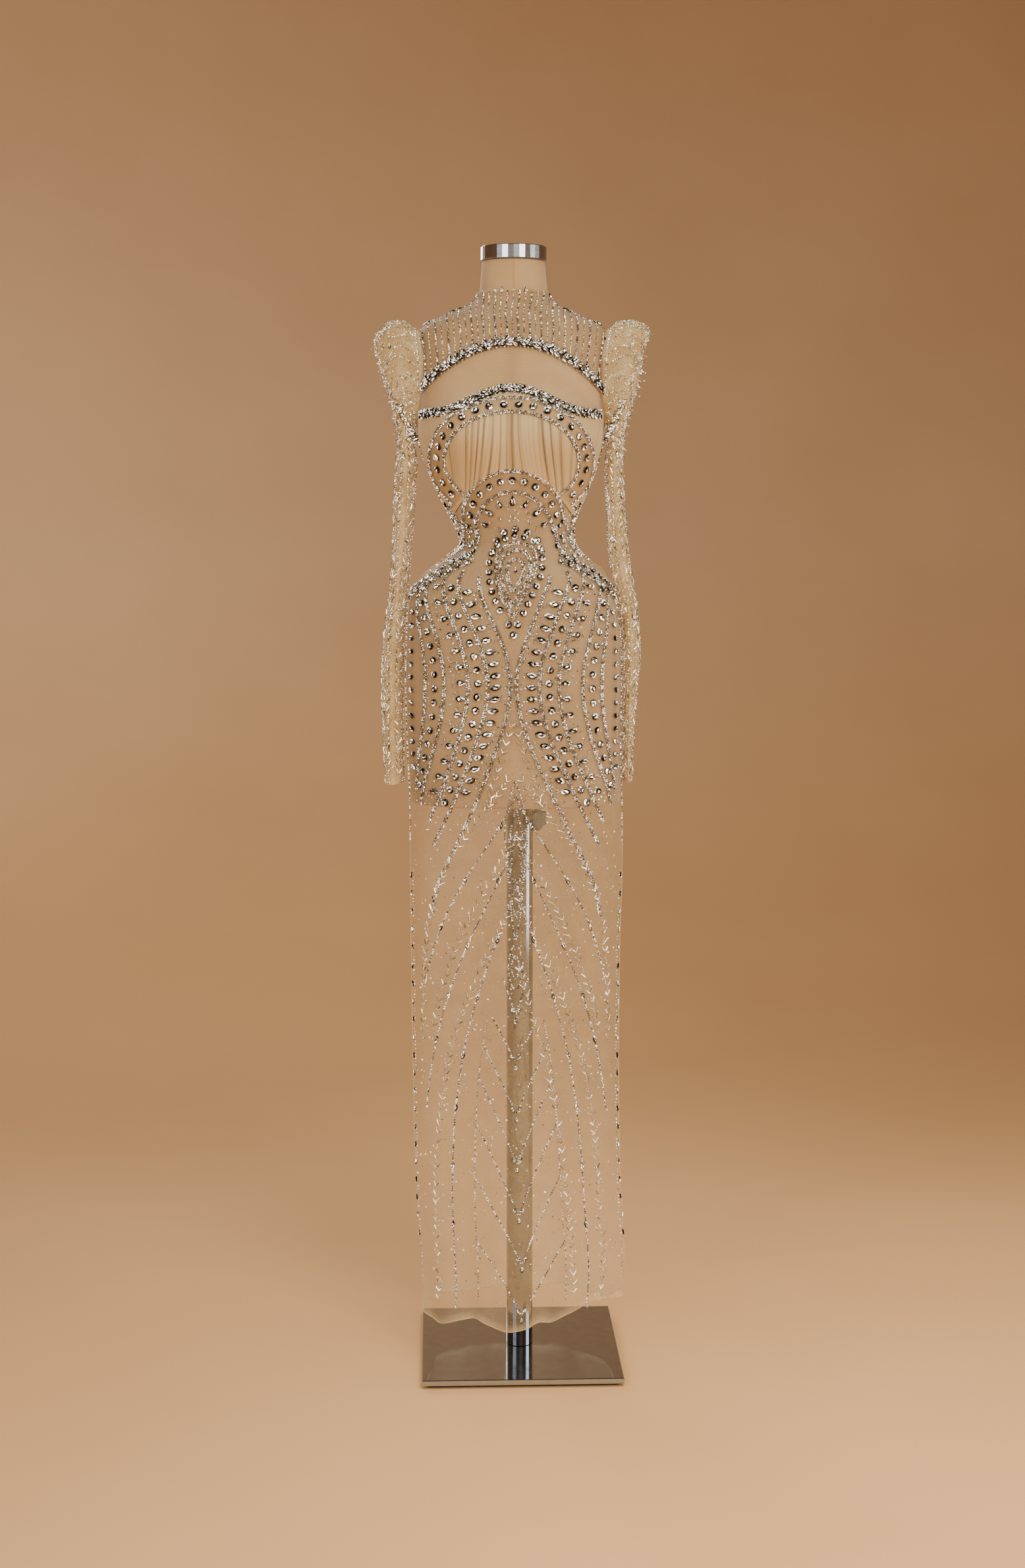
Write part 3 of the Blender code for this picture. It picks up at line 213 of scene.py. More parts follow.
# Each ring of a sleeve runs from its inner point, beside the body, to its outer point.
LEFT_SLEEVE = (
    # inner_x, inner_z, outer_x, outer_z, middle_y, half_depth
    (-0.1535, 1.4130, -0.1700, 1.5635, 0.002, 0.056),
    (-0.1545, 1.4080, -0.1930, 1.5610, 0.002, 0.060),
    (-0.1550, 1.4020, -0.2120, 1.5340, 0.002, 0.058),
    (-0.1550, 1.3950, -0.2065, 1.5040, 0.003, 0.055),
    (-0.1545, 1.3870, -0.1955, 1.4700, 0.004, 0.052),
    (-0.1540, 1.3770, -0.1865, 1.4380, 0.005, 0.050),
    (-0.1525, 1.3600, -0.1800, 1.4020, 0.006, 0.049),
    (-0.1530, 1.3500, -0.1805, 1.3620, 0.007, 0.048),
    (-0.1550, 1.3250, -0.1835, 1.3250, 0.008, 0.047),
    (-0.1577, 1.2820, -0.1856, 1.2820, 0.009, 0.046),
    (-0.1630, 1.2230, -0.1880, 1.2230, 0.010, 0.045),
    (-0.1690, 1.1600, -0.1940, 1.1600, 0.012, 0.044),
    (-0.1727, 1.1180, -0.2000, 1.1180, 0.012, 0.044),
    (-0.1748, 1.0730, -0.2035, 1.0730, 0.012, 0.044),
    (-0.1754, 1.0050, -0.2050, 1.0050, 0.012, 0.043),
    (-0.1750, 0.9380, -0.2022, 0.9380, 0.010, 0.042),
    (-0.1748, 0.8870, -0.2012, 0.8850, 0.010, 0.042),
)
RIGHT_SLEEVE = (
    # inner_x, inner_z, outer_x, outer_z, middle_y, half_depth
    (0.1265, 1.4130, 0.1440, 1.5635, 0.002, 0.056),
    (0.1275, 1.4080, 0.1680, 1.5640, 0.002, 0.060),
    (0.1280, 1.4020, 0.1885, 1.5500, 0.002, 0.058),
    (0.1280, 1.3950, 0.1800, 1.5200, 0.003, 0.055),
    (0.1280, 1.3870, 0.1770, 1.4850, 0.004, 0.052),
    (0.1275, 1.3770, 0.1650, 1.4450, 0.005, 0.050),
    (0.1265, 1.3600, 0.1530, 1.4080, 0.006, 0.049),
    (0.1265, 1.3500, 0.1505, 1.3650, 0.008, 0.048),
    (0.1275, 1.3250, 0.1510, 1.3300, 0.010, 0.047),
    (0.1300, 1.2820, 0.1555, 1.2820, 0.012, 0.046),
    (0.1335, 1.2230, 0.1615, 1.2230, 0.014, 0.045),
    (0.1468, 1.1600, 0.1715, 1.1600, 0.018, 0.044),
    (0.1532, 1.1180, 0.1775, 1.1180, 0.020, 0.044),
    (0.1552, 1.0730, 0.1785, 1.0730, 0.020, 0.044),
    (0.1556, 1.0050, 0.1730, 1.0050, 0.020, 0.043),
    (0.1545, 0.9380, 0.1690, 0.9380, 0.020, 0.042),
    (0.1545, 0.8900, 0.1685, 0.8880, 0.020, 0.042),
)
SLEEVE_ROWS = {"left": LEFT_SLEEVE, "right": RIGHT_SLEEVE}
SIDE = {"left": -1, "right": 1}
SLEEVE_END = float(len(LEFT_SLEEVE))

SLEEVE_LINES = (
    # turn at the start and at the end, row at the start and at the end, millimetres between stones
    (math.pi, math.pi, 1.6, 16.9, 3.3), (math.tau, math.tau, 6.0, 16.9, 3.4),
    (math.pi * 1.13, math.pi * 1.16, 1.2, 16.8, 3.8), (math.pi * 1.86, math.pi * 1.84, 2.0, 16.8, 3.8),
    (math.pi * 1.5 - 0.25, math.pi * 1.5 - 0.35, 7.0, 16.8, 4.4),
    (math.pi * 1.5 + 0.3, math.pi * 1.5 + 0.4, 5.0, 16.8, 4.4),
    (math.pi * 0.87, math.pi * 0.84, 1.5, 16.8, 4.4), (math.pi * 0.14, math.pi * 0.16, 5.0, 16.8, 4.4),
)
BUGLE_COLUMNS = (
    # half turns round the sleeve, the way that the bugles lean
    (1.27, 1), (1.40, -1), (1.60, 1), (1.74, -1), (1.05, 1), (0.30, 1), (0.58, 1), (0.68, -1), (0.80, 1),
)
SLEEVE_LEAVES = (
    # half turns round the sleeve, row
    (1.33, 2.2), (1.62, 3.0), (1.22, 4.6), (1.72, 5.4), (1.45, 7.6), (1.30, 9.4), (1.68, 10.6), (1.40, 12.6),
    (1.06, 6.4), (0.95, 9.0),
)

# Cut, seams and gathers: the chiffon's folds fan out below one height, and a cleft parts them
SEAM_GAP = 1.2 * MM
BACK_HEM = 66 * MM
SQUARE = 2.2
TRIM_REACH = 131 * MM
COIL_TURNS = 400
FAN_TOP = 1.435
FAN_TALL = 0.135
FAN_END = 73 * MM
WIDE_FOLD = 12.5 * MM
NARROW_FOLD = 4.6 * MM
CLEFT_WIDE = 5 * MM

# The finish of each of the stand's own parts
STAND_LOOKS = {
    "base_pad": "rubber", "base_plate": "chrome", "pole": "chrome tube", "clamp_boss": "steel",
    "star_knob": "plastic", "mast": "mast steel", "neck_cap": "steel", "zip_slider": "steel",
    "pull_tab": "steel",
}

# Studio
SWEEP_FLOOR = 1.7
SWEEP_RADIUS = 4.0
SWEEP_WALL = 0.4
WARM = (1.0, 0.96, 0.88)
PALE = (1.0, 0.97, 0.92)
LIGHTS = (
    # name, place, aim, width and height, watts, colour, spread in degrees, whether polished metal mirrors it
    ("key", (1.5, -3.1, 2.6), (0, 0, 1.05), (1.3, 1.7), 41.0, WARM, 130, True),
    ("fill", (-1.9, -3.0, 1.7), (0, 0, 0.9), (1.5, 2.2), 38.0, WARM, 130, True),
    ("back", (-1.6, 3.2, 2.3), (0, 0, 1.0), (1.6, 1.8), 20.0, PALE, 80, True),
    ("floor wash", (0.9, -1.6, 3.4), (0.9, -1.4, 0.0), (1.8, 1.2), 36.0, WARM, 76, False),
    ("overhead", (0.0, 0.4, 4.6), (0.0, 0.4, 0.0), (3.4, 3.4), 44.0, PALE, 150, False),
    ("backdrop", (-2.2, 0.9, 2.6), (-1.6, 4.6, 1.8), (1.2, 1.4), 40.0, (1.0, 0.96, 0.90), 130, True),
    ("side box", (2.65, -0.6, 0.95), (0, 0, 0.95), (0.7, 2.2), 12.0, (1.0, 0.97, 0.90), 110, True),
)
# Camera: a 50 mm lens on a 36 mm film width, level with the bust and tilted a little down
CAMERA_PLACE = (-0.010855, -3.24326, 1.27448)
CAMERA_TILT = math.radians(90 - 6.879)


# Surfaces

def ease(start, end, leave, arrive, part):
    """A value on a smooth curve from start to end, with its slope at each."""
    rest = 1 - part
    return (start * (1 + 2 * part) * rest ** 2 + end * part ** 2 * (3 - 2 * part)
            + leave * part * rest ** 2 - arrive * part ** 2 * rest)


def between(table, height):
    """The table's row at a height, on a smooth curve through its rows."""
    if height <= table[0][0]:
        return table[0][1:]
    if height >= table[-1][0]:
        return table[-1][1:]
    low = max(index for index, row in enumerate(table) if row[0] <= height)
    start, end = table[low], table[low + 1]
    before = table[low - 1] if low else start
    after = table[low + 2] if low + 2 < len(table) else end
    span = end[0] - start[0]
    part = (height - start[0]) / span
    values = []
    for column in range(1, len(start)):
        leave = (end[column] - before[column]) / (end[0] - before[0]) * span
        arrive = (after[column] - start[column]) / (after[0] - start[0]) * span
        values.append(ease(start[column], end[column], leave, arrive, part))
    return values


FINE_STEP = 1 * MM
FINE_LOW = 0.040
FINE_SECTIONS = [between(SECTIONS, FINE_LOW + FINE_STEP * step) for step in range(1640)]


def section(height):
    """Half width, front, back, middle and squareness at a height."""
    place = min(max((height - FINE_LOW) / FINE_STEP, 0.0), len(FINE_SECTIONS) - 1.001)
    low = int(place)
    part = place - low
    return [a + (b - a) * part for a, b in zip(FINE_SECTIONS[low], FINE_SECTIONS[low + 1])]


def signed_power(value, power):
    return math.copysign(abs(value) ** power, value)


def clamp(value, low=0.0, high=1.0):
    return min(high, max(low, value))


def figure_point(angle, height):
    """A point on the form: angle 0 is the centre front, 90 degrees the right side."""
    half, front, back, middle, square = section(height)
    across = half * signed_power(math.sin(angle), 2 / square)
    ahead = signed_power(math.cos(angle), 2 / square)
    depth_y = -(front if ahead > 0 else back) * ahead
    if ahead > 0 and BUST_SPAN[0] < height < BUST_SPAN[1]:
        rise = sum(math.exp(-((across - bust_x) / BUST_WIDE) ** 2 - ((height - BUST_HEIGHT) / BUST_TALL) ** 2)
                   for bust_x in (-BUST_SPREAD, BUST_SPREAD))
        depth_y -= BUST_RISE * rise * (1 - (across / half) ** 4)
    return Vector((middle + across, depth_y, height))


def skin(angle, height, out=0.0):
    """A point moved out from the form, square to its surface."""
    turn, rise = 0.004, 0.0006
    along = figure_point(angle + turn, height) - figure_point(angle - turn, height)
    up = figure_point(angle, height + rise) - figure_point(angle, height - rise)
    return figure_point(angle, height) + along.cross(up).normalized() * out


def beside_middle(angle, height):
    """How far to the side of the section's middle a point of the form lies."""
    return figure_point(angle, height).x - section(height)[3]


def front_angle(share, height):
    """The angle whose point lies at a share of the half width, on the front."""
    return math.asin(signed_power(clamp(share, -1.0, 1.0), section(height)[4] / 2))


def half_width(height):
    """The gown's own half width, with its cloth."""
    return section(height)[0] + 3.2 * MM


def across_angle(across, height):
    return front_angle(across / half_width(height), height)


def armhole_angle(height, side):
    """Where the armhole's edge crosses a height, from the centre front (side 1) or centre back (side -1)."""
    from_middle = abs(height - ARMHOLE_HEIGHT) / ARMHOLE_TALL
    if from_middle >= 1:
        return math.pi / 2
    reach = ARMHOLE_DEEP * math.sqrt(1 - from_middle ** 2)
    _, front, back, _, square = section(height)
    depth = (front if side > 0 else back) + 2 * MM
    return math.acos(min(1.0, (reach / depth) ** (square / 2)))


def upper_cut(across):
    return CUT_TOP_HEIGHT - CUT_TOP_DROP * (across / CUT_REACH) ** 2


def lower_cut(across):
    part = min(1.0, abs(across) / CUT_LOW_REACH)
    return CUT_LOW_HEIGHT - CUT_LOW_DROP * (1 - math.cos(math.pi * part)) / 2


def arch(across):
    return ARCH_HEIGHT - ARCH_FALL * across ** 2


def outer_tail(height):
    """The tail below each end of the outer arch, as a share of the half width: it follows the waist down."""
    start, rise, length = TAIL
    return start + rise * (1 - math.exp(-(OUTER_ARCH[2] - height) / length))


def side_line(_):
    """The line of stones down each side, at every height the same share of the half width."""
    return 0.985


def fall_share(top, reach, length):
    """The share of the half width of a line that leaves the centre at its top and falls outward."""
    return lambda height: reach * (1 - math.exp(-(max(0.0, top - height) / length) ** 1.5))


def height_on(line, share):
    """The height at which a line crosses a share of the half width."""
    height = line(0.0)
    for _ in range(12):
        height = 0.5 * height + 0.5 * line(share * half_width(height))
    return height


def hem_height(angle):
    """The hem's height at an angle: uneven in front, nearly level behind."""
    share = math.sin(angle)
    if math.cos(angle) >= 0:
        return between(HEM_FRONT, share)[0]
    back = HEM_BACK + 3 * MM * math.sin(3 * angle + 0.5)
    side = HEM_FRONT[0][1] if share < 0 else HEM_FRONT[-1][1]
    return side + (back - side) * min(1.0, -math.cos(angle) / 0.5)


def hem_wave(angle, height):
    """Soft flutes that start at the knee and deepen to the hem."""
    low = clamp((WAVE_TOP - height) / (WAVE_TOP - WAVE_FULL))
    if low == 0.0:
        return 0.0
    wave = sum(depth * math.sin(count * angle + shift) for count, shift, depth in HEM_WAVES)
    if math.cos(angle) > 0:
        share, wide, deep = FOLD
        wave += deep * math.exp(-((math.sin(angle) - share) / wide) ** 2)
    return wave * low ** 1.6


def gown_skin(angle, height, out):
    """A point on the gown: the form's surface moved out, with the skirt's flutes."""
    return skin(angle, height, out + hem_wave(angle, height))


def sleeve_skin(name):
    """The surface of one sleeve: turn 0 is its inner side, half a turn its outer side, and row 0 its seam."""
    side, rows = SIDE[name], SLEEVE_ROWS[name]

    def seam_point(turn, out):
        height = ARMHOLE_HEIGHT - (ARMHOLE_TALL + SEAM_ROUND) * math.cos(turn)
        depth_y = (ARMHOLE_DEEP + SEAM_ROUND) * math.sin(turn)
        half, front, back, middle, square = section(height)
        depth = (front if depth_y < 0 else back) + SEAM_OUT
        across = (half + SEAM_OUT + out) * (1 - (abs(depth_y) / depth) ** square) ** (1 / square)
        return Vector((middle + side * across, depth_y, height))

    def ring_point(row, turn, out):
        inner_x, inner_z, outer_x, outer_z, middle_y, half_depth = row
        inner, outer = Vector((inner_x, 0, inner_z)), Vector((outer_x, 0, outer_z))
        half = (outer - inner) / 2
        across = half * (1 + out / half.length)
        depth = signed_power(math.sin(turn), 0.85) * (half_depth + out)
        middle = (outer + inner) / 2 + Vector((0, middle_y, 0))
        return middle - across * signed_power(math.cos(turn), 0.85) + Vector((0, depth, 0))

    def surface(turn, along, out):
        along = clamp(along, 0.0, SLEEVE_END)
        if along < 1.0:
            return seam_point(turn, out).lerp(ring_point(rows[0], turn, out), along)
        low = min(int(along) - 1, len(rows) - 2)
        part = along - 1 - low
        before, after = rows[max(0, low - 1)], rows[min(len(rows) - 1, low + 2)]
        row = [ease(start, end, (end - was) / 2, (then - start) / 2, part)
               for was, start, end, then in zip(before, rows[low], rows[low + 1], after)]
        return ring_point(row, turn, out)

    return surface


# Finishes

def hex_colour(code):
    """An sRGB hex colour as linear red, green, blue and alpha."""
    channels = [int(code[place:place + 2], 16) / 255 for place in (1, 3, 5)]
    linear = [value / 12.92 if value <= 0.04045 else ((value + 0.055) / 1.055) ** 2.4 for value in channels]
    return (*linear, 1.0)


def tinted(colour, share):
    red, green, blue, alpha = colour
    return red * share, green * share, blue * share, alpha


def add_node(tree, kind, settings=(), links=(), stops=(), feeds=()):
    """Add a node with its settings and links: in as (socket, node, output), on as (output, node, socket)."""
    node = tree.nodes.new("ShaderNode" + kind)
    for name, value in dict(settings).items():
        if isinstance(name, str) and name in node.bl_rna.properties:
            setattr(node, name, value)
        else:
            node.inputs[name].default_value = value
    for number, (place, colour) in enumerate(stops):
        if number == len(node.color_ramp.elements):
            node.color_ramp.elements.new(place)
        node.color_ramp.elements[number].position = place
        node.color_ramp.elements[number].color = colour
    for socket, source, output in links:
        tree.links.new(source.outputs[output], node.inputs[socket])
    for output, target, socket in feeds:
        tree.links.new(node.outputs[output], target.inputs[socket])
    return node


def start_finish(name, even):
    """A material with its even values on the shader's own sockets, and the link that places its patterns."""
    finish = bpy.data.materials.new(name)
    finish.use_nodes = True
    tree = finish.node_tree
    shader = tree.nodes["Principled BSDF"]
    for socket, value in even.items():
        shader.inputs[socket].default_value = value
    return finish, tree, shader, [("Vector", add_node(tree, "TexCoord"), "Object")]


def netting(name, colour, shade, thin, dense):
    """Silk net: fine open meshes that let light through, thicker where the net is doubled or turned in."""
    finish, tree, shader, at = start_finish(name, {"Roughness": 0.6, "IOR": 1.45, "Sheen Weight": 0.25,
                                                   "Sheen Roughness": 0.4})
    # The real meshes are 0.8 mm apart, drawn 2 mm apart so that they show.
    mesh = add_node(tree, "TexVoronoi", {"feature": 'DISTANCE_TO_EDGE', "Scale": 1 / (2 * MM)}, at)
    # Threads bunch and spread over about 30 mm.
    cloud = add_node(tree, "TexNoise", {"Scale": 32.0, "Detail": 4.0}, at)
    turned = add_node(tree, "Attribute", {"attribute_name": "turned_in"})
    thread = add_node(tree, "MapRange", {"From Max": 0.22, "To Min": dense, "To Max": thin},
                      [("Value", mesh, "Distance")])
    uneven = add_node(tree, "MapRange", {"From Min": 0.3, "From Max": 0.7, "To Min": 0.86, "To Max": 1.16},
                      [("Value", cloud, "Fac")])
    cover = add_node(tree, "Math", {"operation": 'MULTIPLY'}, [(0, thread, "Result"), (1, uneven, "Result")])
    add_node(tree, "Math", {"operation": 'MULTIPLY_ADD', "use_clamp": True, 1: 0.45},
             [(0, turned, "Fac"), (2, cover, "Value")], feeds=[("Value", shader, "Alpha")])
    add_node(tree, "ValToRGB", {}, [("Fac", cloud, "Fac")], [(0.35, shade), (0.65, colour)],
             [("Color", shader, "Base Color")])
    return finish


def silk_chiffon(colour, shade):
    """Silk chiffon: a soft matt veil, painted lighter on its folds and darker and warmer between them, as
    painted shade.
    """
    finish, tree, shader, at = start_finish("gathered silk chiffon", {
        "Roughness": 0.62, "IOR": 1.45, "Sheen Weight": 0.5, "Sheen Roughness": 0.35})
    # Crepe threads 0.5 mm apart, drawn stretched along the folds at 1.5 mm.
    stretch = add_node(tree, "Mapping", {"Scale": (700.0, 700.0, 60.0)}, at)
    thread = add_node(tree, "TexNoise", {"Scale": 1.0, "Detail": 3.0}, [("Vector", stretch, "Vector")])
    # The fold value paints shade into the valleys between the gathers.
    fold = add_node(tree, "Attribute", {"attribute_name": "fold"})
    add_node(tree, "ValToRGB", {}, [("Fac", fold, "Fac")], [(0.22, shade), (0.92, colour)],
             [("Color", shader, "Base Color")])
    add_node(tree, "Bump", {"Distance": 0.25 * MM, "Strength": 0.5}, [("Height", thread, "Fac")],
             feeds=[("Normal", shader, "Normal")])
    return finish


def cut_glass(name, dark, middle, bright, metallic, roughness):
    """Foil-backed glass with painted light: each facet's colour is painted bright or dark, as painted
    reflections and painted shade.
    """
    finish, tree, shader, at = start_finish(name, {"Metallic": metallic, "Emission Strength": 2.6})
    glint = [("Fac", add_node(tree, "Attribute", {"attribute_name": "glint"}), "Fac")]
    tints = [(0.32, hex_colour(dark)), (0.54, hex_colour(middle)), (0.72, hex_colour(bright))]
    add_node(tree, "ValToRGB", {}, glint, tints, [("Color", shader, "Base Color")])
    # The brightest facets glow as a painted highlight, standing in for light that has gone round inside the
    # stone and leaves by a few of its facets.
    flash = [(0.79, (0.0, 0.0, 0.0, 1.0)), (0.85, hex_colour("#FFF7EA"))]
    add_node(tree, "ValToRGB", {}, glint, flash, [("Color", shader, "Emission Color")])
    # Handling leaves a faint haze in patches of about 4 mm.
    haze = add_node(tree, "TexNoise", {"Scale": 240.0}, at)
    add_node(tree, "MapRange", {"To Min": roughness * 0.7, "To Max": roughness * 1.5},
             [("Value", haze, "Fac")], feeds=[("Result", shader, "Roughness")])
    return finish


def cotton_jersey(colour, shade):
    """Cotton jersey stretched on the firm form: fine level ribs, matt, and a little fuzzy."""
    finish, tree, shader, at = start_finish("cotton jersey cover", {
        "Roughness": 0.88, "IOR": 1.45, "Sheen Weight": 0.3, "Sheen Roughness": 0.5})
    # Courses of knit are 0.7 mm apart, drawn 1.6 mm apart so that they show.
    knit = {"bands_direction": 'Z', "Scale": 196.0, "Distortion": 1.5, "Detail": 2.0}
    course = add_node(tree, "TexWave", knit, at)
    # The cover is a little faded in patches of about 70 mm.
    cloud = add_node(tree, "TexNoise", {"Scale": 14.0, "Detail": 5.0}, at)
    mix = add_node(tree, "Math", {"operation": 'MULTIPLY_ADD', 1: 0.18},
                   [(0, course, "Fac"), (2, cloud, "Fac")])
    tint = add_node(tree, "ValToRGB", {}, [("Fac", mix, "Value")], [(0.35, shade), (0.8, colour)])
    # Painted shade: where the beaded net lies on it, the knit is painted darker, as the net's shadow.
    under = add_node(tree, "Attribute", {"attribute_name": "under_net"})
    add_node(tree, "Mix", {"data_type": 'RGBA', "blend_type": 'MULTIPLY', 7: hex_colour("#DAD8D6")},
             [(0, under, "Fac"), (6, tint, "Color")], feeds=[(2, shader, "Base Color")])
    add_node(tree, "Bump", {"Distance": 0.2 * MM, "Strength": 0.5}, [("Height", course, "Fac")],
             feeds=[("Normal", shader, "Normal")])
    return finish


def polished_metal(name, colour, low, high, scratch):
    """Plated and polished steel: clear reflections, hazed a little by wiping in one direction."""
    finish, tree, shader, at = start_finish(name, {"Metallic": 1.0})
    # The marks are 17 mm wide on the plate, 11 mm on the tube, 1.1 mm where brushed and 1.4 mm where drawn.
    wiped = add_node(tree, "Mapping", {"Scale": scratch}, at)
    grain = add_node(tree, "TexNoise", {"Scale": 1.0, "Detail": 6.0}, [("Vector", wiped, "Vector")])
    add_node(tree, "MapRange", {"To Min": low, "To Max": high}, [("Value", grain, "Fac")],
             feeds=[("Result", shader, "Roughness")])
    add_node(tree, "ValToRGB", {}, [("Fac", grain, "Fac")], [(0.3, tinted(colour, 0.86)), (0.7, colour)],
             [("Color", shader, "Base Color")])
    add_node(tree, "Bump", {"Distance": 0.02 * MM, "Strength": 0.3}, [("Height", grain, "Fac")],
             feeds=[("Normal", shader, "Normal")])
    return finish


def moulded(name, code, roughness, grain_scale, height):
    """A moulded plastic or rubber: even colour with the mould's fine grain and a few paler scuffs."""
    finish, tree, shader, at = start_finish(name, {"IOR": 1.5})
    colour = hex_colour(code)
    # The grain is 0.6 mm across on the ABS, 0.7 mm on the coil and 0.8 mm on the rubber.
    grain = add_node(tree, "TexNoise", {"Scale": grain_scale, "Detail": 4.0}, at)
    # Scuffs are about 17 mm across.
    scuff = add_node(tree, "TexNoise", {"Scale": 60.0, "Detail": 8.0, "Roughness": 0.8}, at)
    add_node(tree, "ValToRGB", {}, [("Fac", scuff, "Fac")], [(0.45, colour), (0.75, tinted(colour, 2.2))],
             [("Color", shader, "Base Color")])
    add_node(tree, "MapRange", {"To Min": roughness * 0.8, "To Max": roughness * 1.2},
             [("Value", scuff, "Fac")], feeds=[("Result", shader, "Roughness")])
    add_node(tree, "Bump", {"Distance": height, "Strength": 0.6}, [("Height", grain, "Fac")],
             feeds=[("Normal", shader, "Normal")])
    return finish


def woven_tape(colour, shade):
    """Polyester zip tape: a fine herringbone weave, 1.5 mm between its ribs."""
    finish, tree, shader, at = start_finish("woven polyester tape", {"Roughness": 0.75, "IOR": 1.5})
    rib = add_node(tree, "TexWave", {"bands_direction": 'DIAGONAL', "Scale": 420.0, "Distortion": 0.6}, at)
    add_node(tree, "ValToRGB", {}, [("Fac", rib, "Fac")], [(0.2, shade), (0.8, colour)],
             [("Color", shader, "Base Color")])
    add_node(tree, "Bump", {"Distance": 0.2 * MM, "Strength": 0.6}, [("Height", rib, "Fac")],
             feeds=[("Normal", shader, "Normal")])
    return finish


def painted_sweep(colour, shade):
    """A studio sweep painted matt: almost even, with faint roller clouds."""
    finish, tree, shader, at = start_finish("matt studio paint", {
        "Roughness": 0.9, "Specular IOR Level": 0.2})
    # Roller clouds are about 0.8 m across.
    cloud = add_node(tree, "TexNoise", {"Scale": 1.3, "Detail": 3.0}, at)
    tint = add_node(tree, "ValToRGB", {}, [("Fac", cloud, "Fac")], [(0.3, shade), (0.7, colour)])
    # The paint is a little warmer towards the floor, fading out over its lowest 1.2 m.
    height = add_node(tree, "SeparateXYZ", {}, at)
    rise = add_node(tree, "MapRange", {"From Max": 1.2, "To Min": 1.0, "To Max": 0.0},
                    [("Value", height, "Z")])
    add_node(tree, "Mix", {"data_type": 'RGBA', "blend_type": 'MULTIPLY', 7: hex_colour("#FFF4DE")},
             [("Factor", rise, "Result"), (6, tint, "Color")], feeds=[(2, shader, "Base Color")])
    return finish


# Making pieces

ROUND_START = Vector((0.31, 0.17, 0.93))


def finish_piece(name, bm, look, nodes=(), smooth=True):
    """Turn a bmesh into one named piece that rides on the figure and stands for the given nodes."""
    piece = make_object(name, bm, look, smooth)
    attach(piece, "figure")
    if nodes:
        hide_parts(*nodes)
    return piece


def make_object(name, bm, look, smooth=True):
    mesh = bpy.data.meshes.new(name)
    bm.to_mesh(mesh)
    bm.free()
    if smooth:
        mesh.shade_smooth()
    mesh.materials.append(Making.finish(look))
    made = bpy.data.objects.new(name, mesh)
    bpy.context.scene.collection.objects.link(made)
    return made


def shape_grid(columns, rows, place, around=False, value=None, label="turned_in"):
    """A grid whose points are moved to place(across, up), both from 0 to 1, with a value kept on each."""
    bm = bmesh.new()
    bmesh.ops.create_grid(bm, x_segments=columns, y_segments=rows, size=0.5)
    layer = bm.verts.layers.float.new(label)
    for vert in bm.verts:
        across, up = vert.co.x + 0.5, vert.co.y + 0.5
        vert[layer] = value(across, up) if value else 0.0
        vert.co = place(across, up)
    if around:
        bmesh.ops.remove_doubles(bm, verts=bm.verts, dist=0.02 * MM)
    return bm


def face_toward(bm, way):
    """Turn all of a sheet's faces the same way round, toward a direction on the whole."""
    bmesh.ops.recalc_face_normals(bm, faces=bm.faces)
    if sum((face.normal * face.calc_area() for face in bm.faces), Vector()).dot(Vector(way)) < 0:
        bmesh.ops.reverse_faces(bm, faces=bm.faces)


def add_tube(bm, path, radius, closed=False, sides=6):
    """A thin roll of cloth or cord along a path of points."""
    count = len(path) if closed else len(path) - 1
    tube = bmesh.new()
    bmesh.ops.create_grid(tube, x_segments=count, y_segments=sides, size=0.5)
    for vert in tube.verts:
        step = round((vert.co.x + 0.5) * count)
        turn = math.tau * (vert.co.y + 0.5)
        here = path[step % len(path)]
        if closed:
            before, after = path[step % len(path) - 1], path[(step + 1) % len(path)]
        else:
            before, after = path[max(0, step - 1)], path[min(count, step + 1)]
        along = (after - before).normalized()
        # A roll's round starts from a fixed way that no roll of the gown runs along.
        beside = along.cross(ROUND_START).normalized()
        over = beside.cross(along)
        vert.co = here + (beside * math.cos(turn) + over * math.sin(turn)) * radius
    bmesh.ops.remove_doubles(tube, verts=tube.verts, dist=0.01 * MM)
    if not closed:
        bmesh.ops.holes_fill(tube, edges=tube.edges)
    bmesh.ops.recalc_face_normals(tube, faces=tube.faces)
    mesh = bpy.data.meshes.new("roll")
    tube.to_mesh(mesh)
    tube.free()
    bm.from_mesh(mesh)
    bpy.data.meshes.remove(mesh)


def add_ring(bm, rule, steps, radius):
    """A thin roll that goes once round, through rule(angle)."""
    add_tube(bm, [rule(math.tau * step / steps) for step in range(steps)], radius, closed=True)


# Stones and beads

LARGE_STONES = ("round", "leaf", "drop")
TABLE_REACH = 0.45
# A share of a small stone's facets are painted dark, as painted reflection of the dark room around it.
DARK_CHANCE = 0.16
# The walls of a stone sit in its setting and are painted dark, partly for the setting and partly as painted
# shade.
WALL_LIGHT = 0.3


def facet_kinds(name, mesh):
    """For each facet: how bright its painted light may be, and its way round a large stone's middle."""
    kinds = []
    for face in mesh.polygons:
        middle = face.center
        bright = 1.0 if name in ("bead", "bugle") or face.normal.z > 0.35 else WALL_LIGHT
        way = math.atan2(middle.y, middle.x) if name in LARGE_STONES else None
        if way is not None and math.hypot(middle.x, middle.y) < TABLE_REACH:
            # The table's painted light is turned round: it is painted bright where the crown is painted dark.
            way += math.pi
        kinds.append((bright, way))
    return kinds


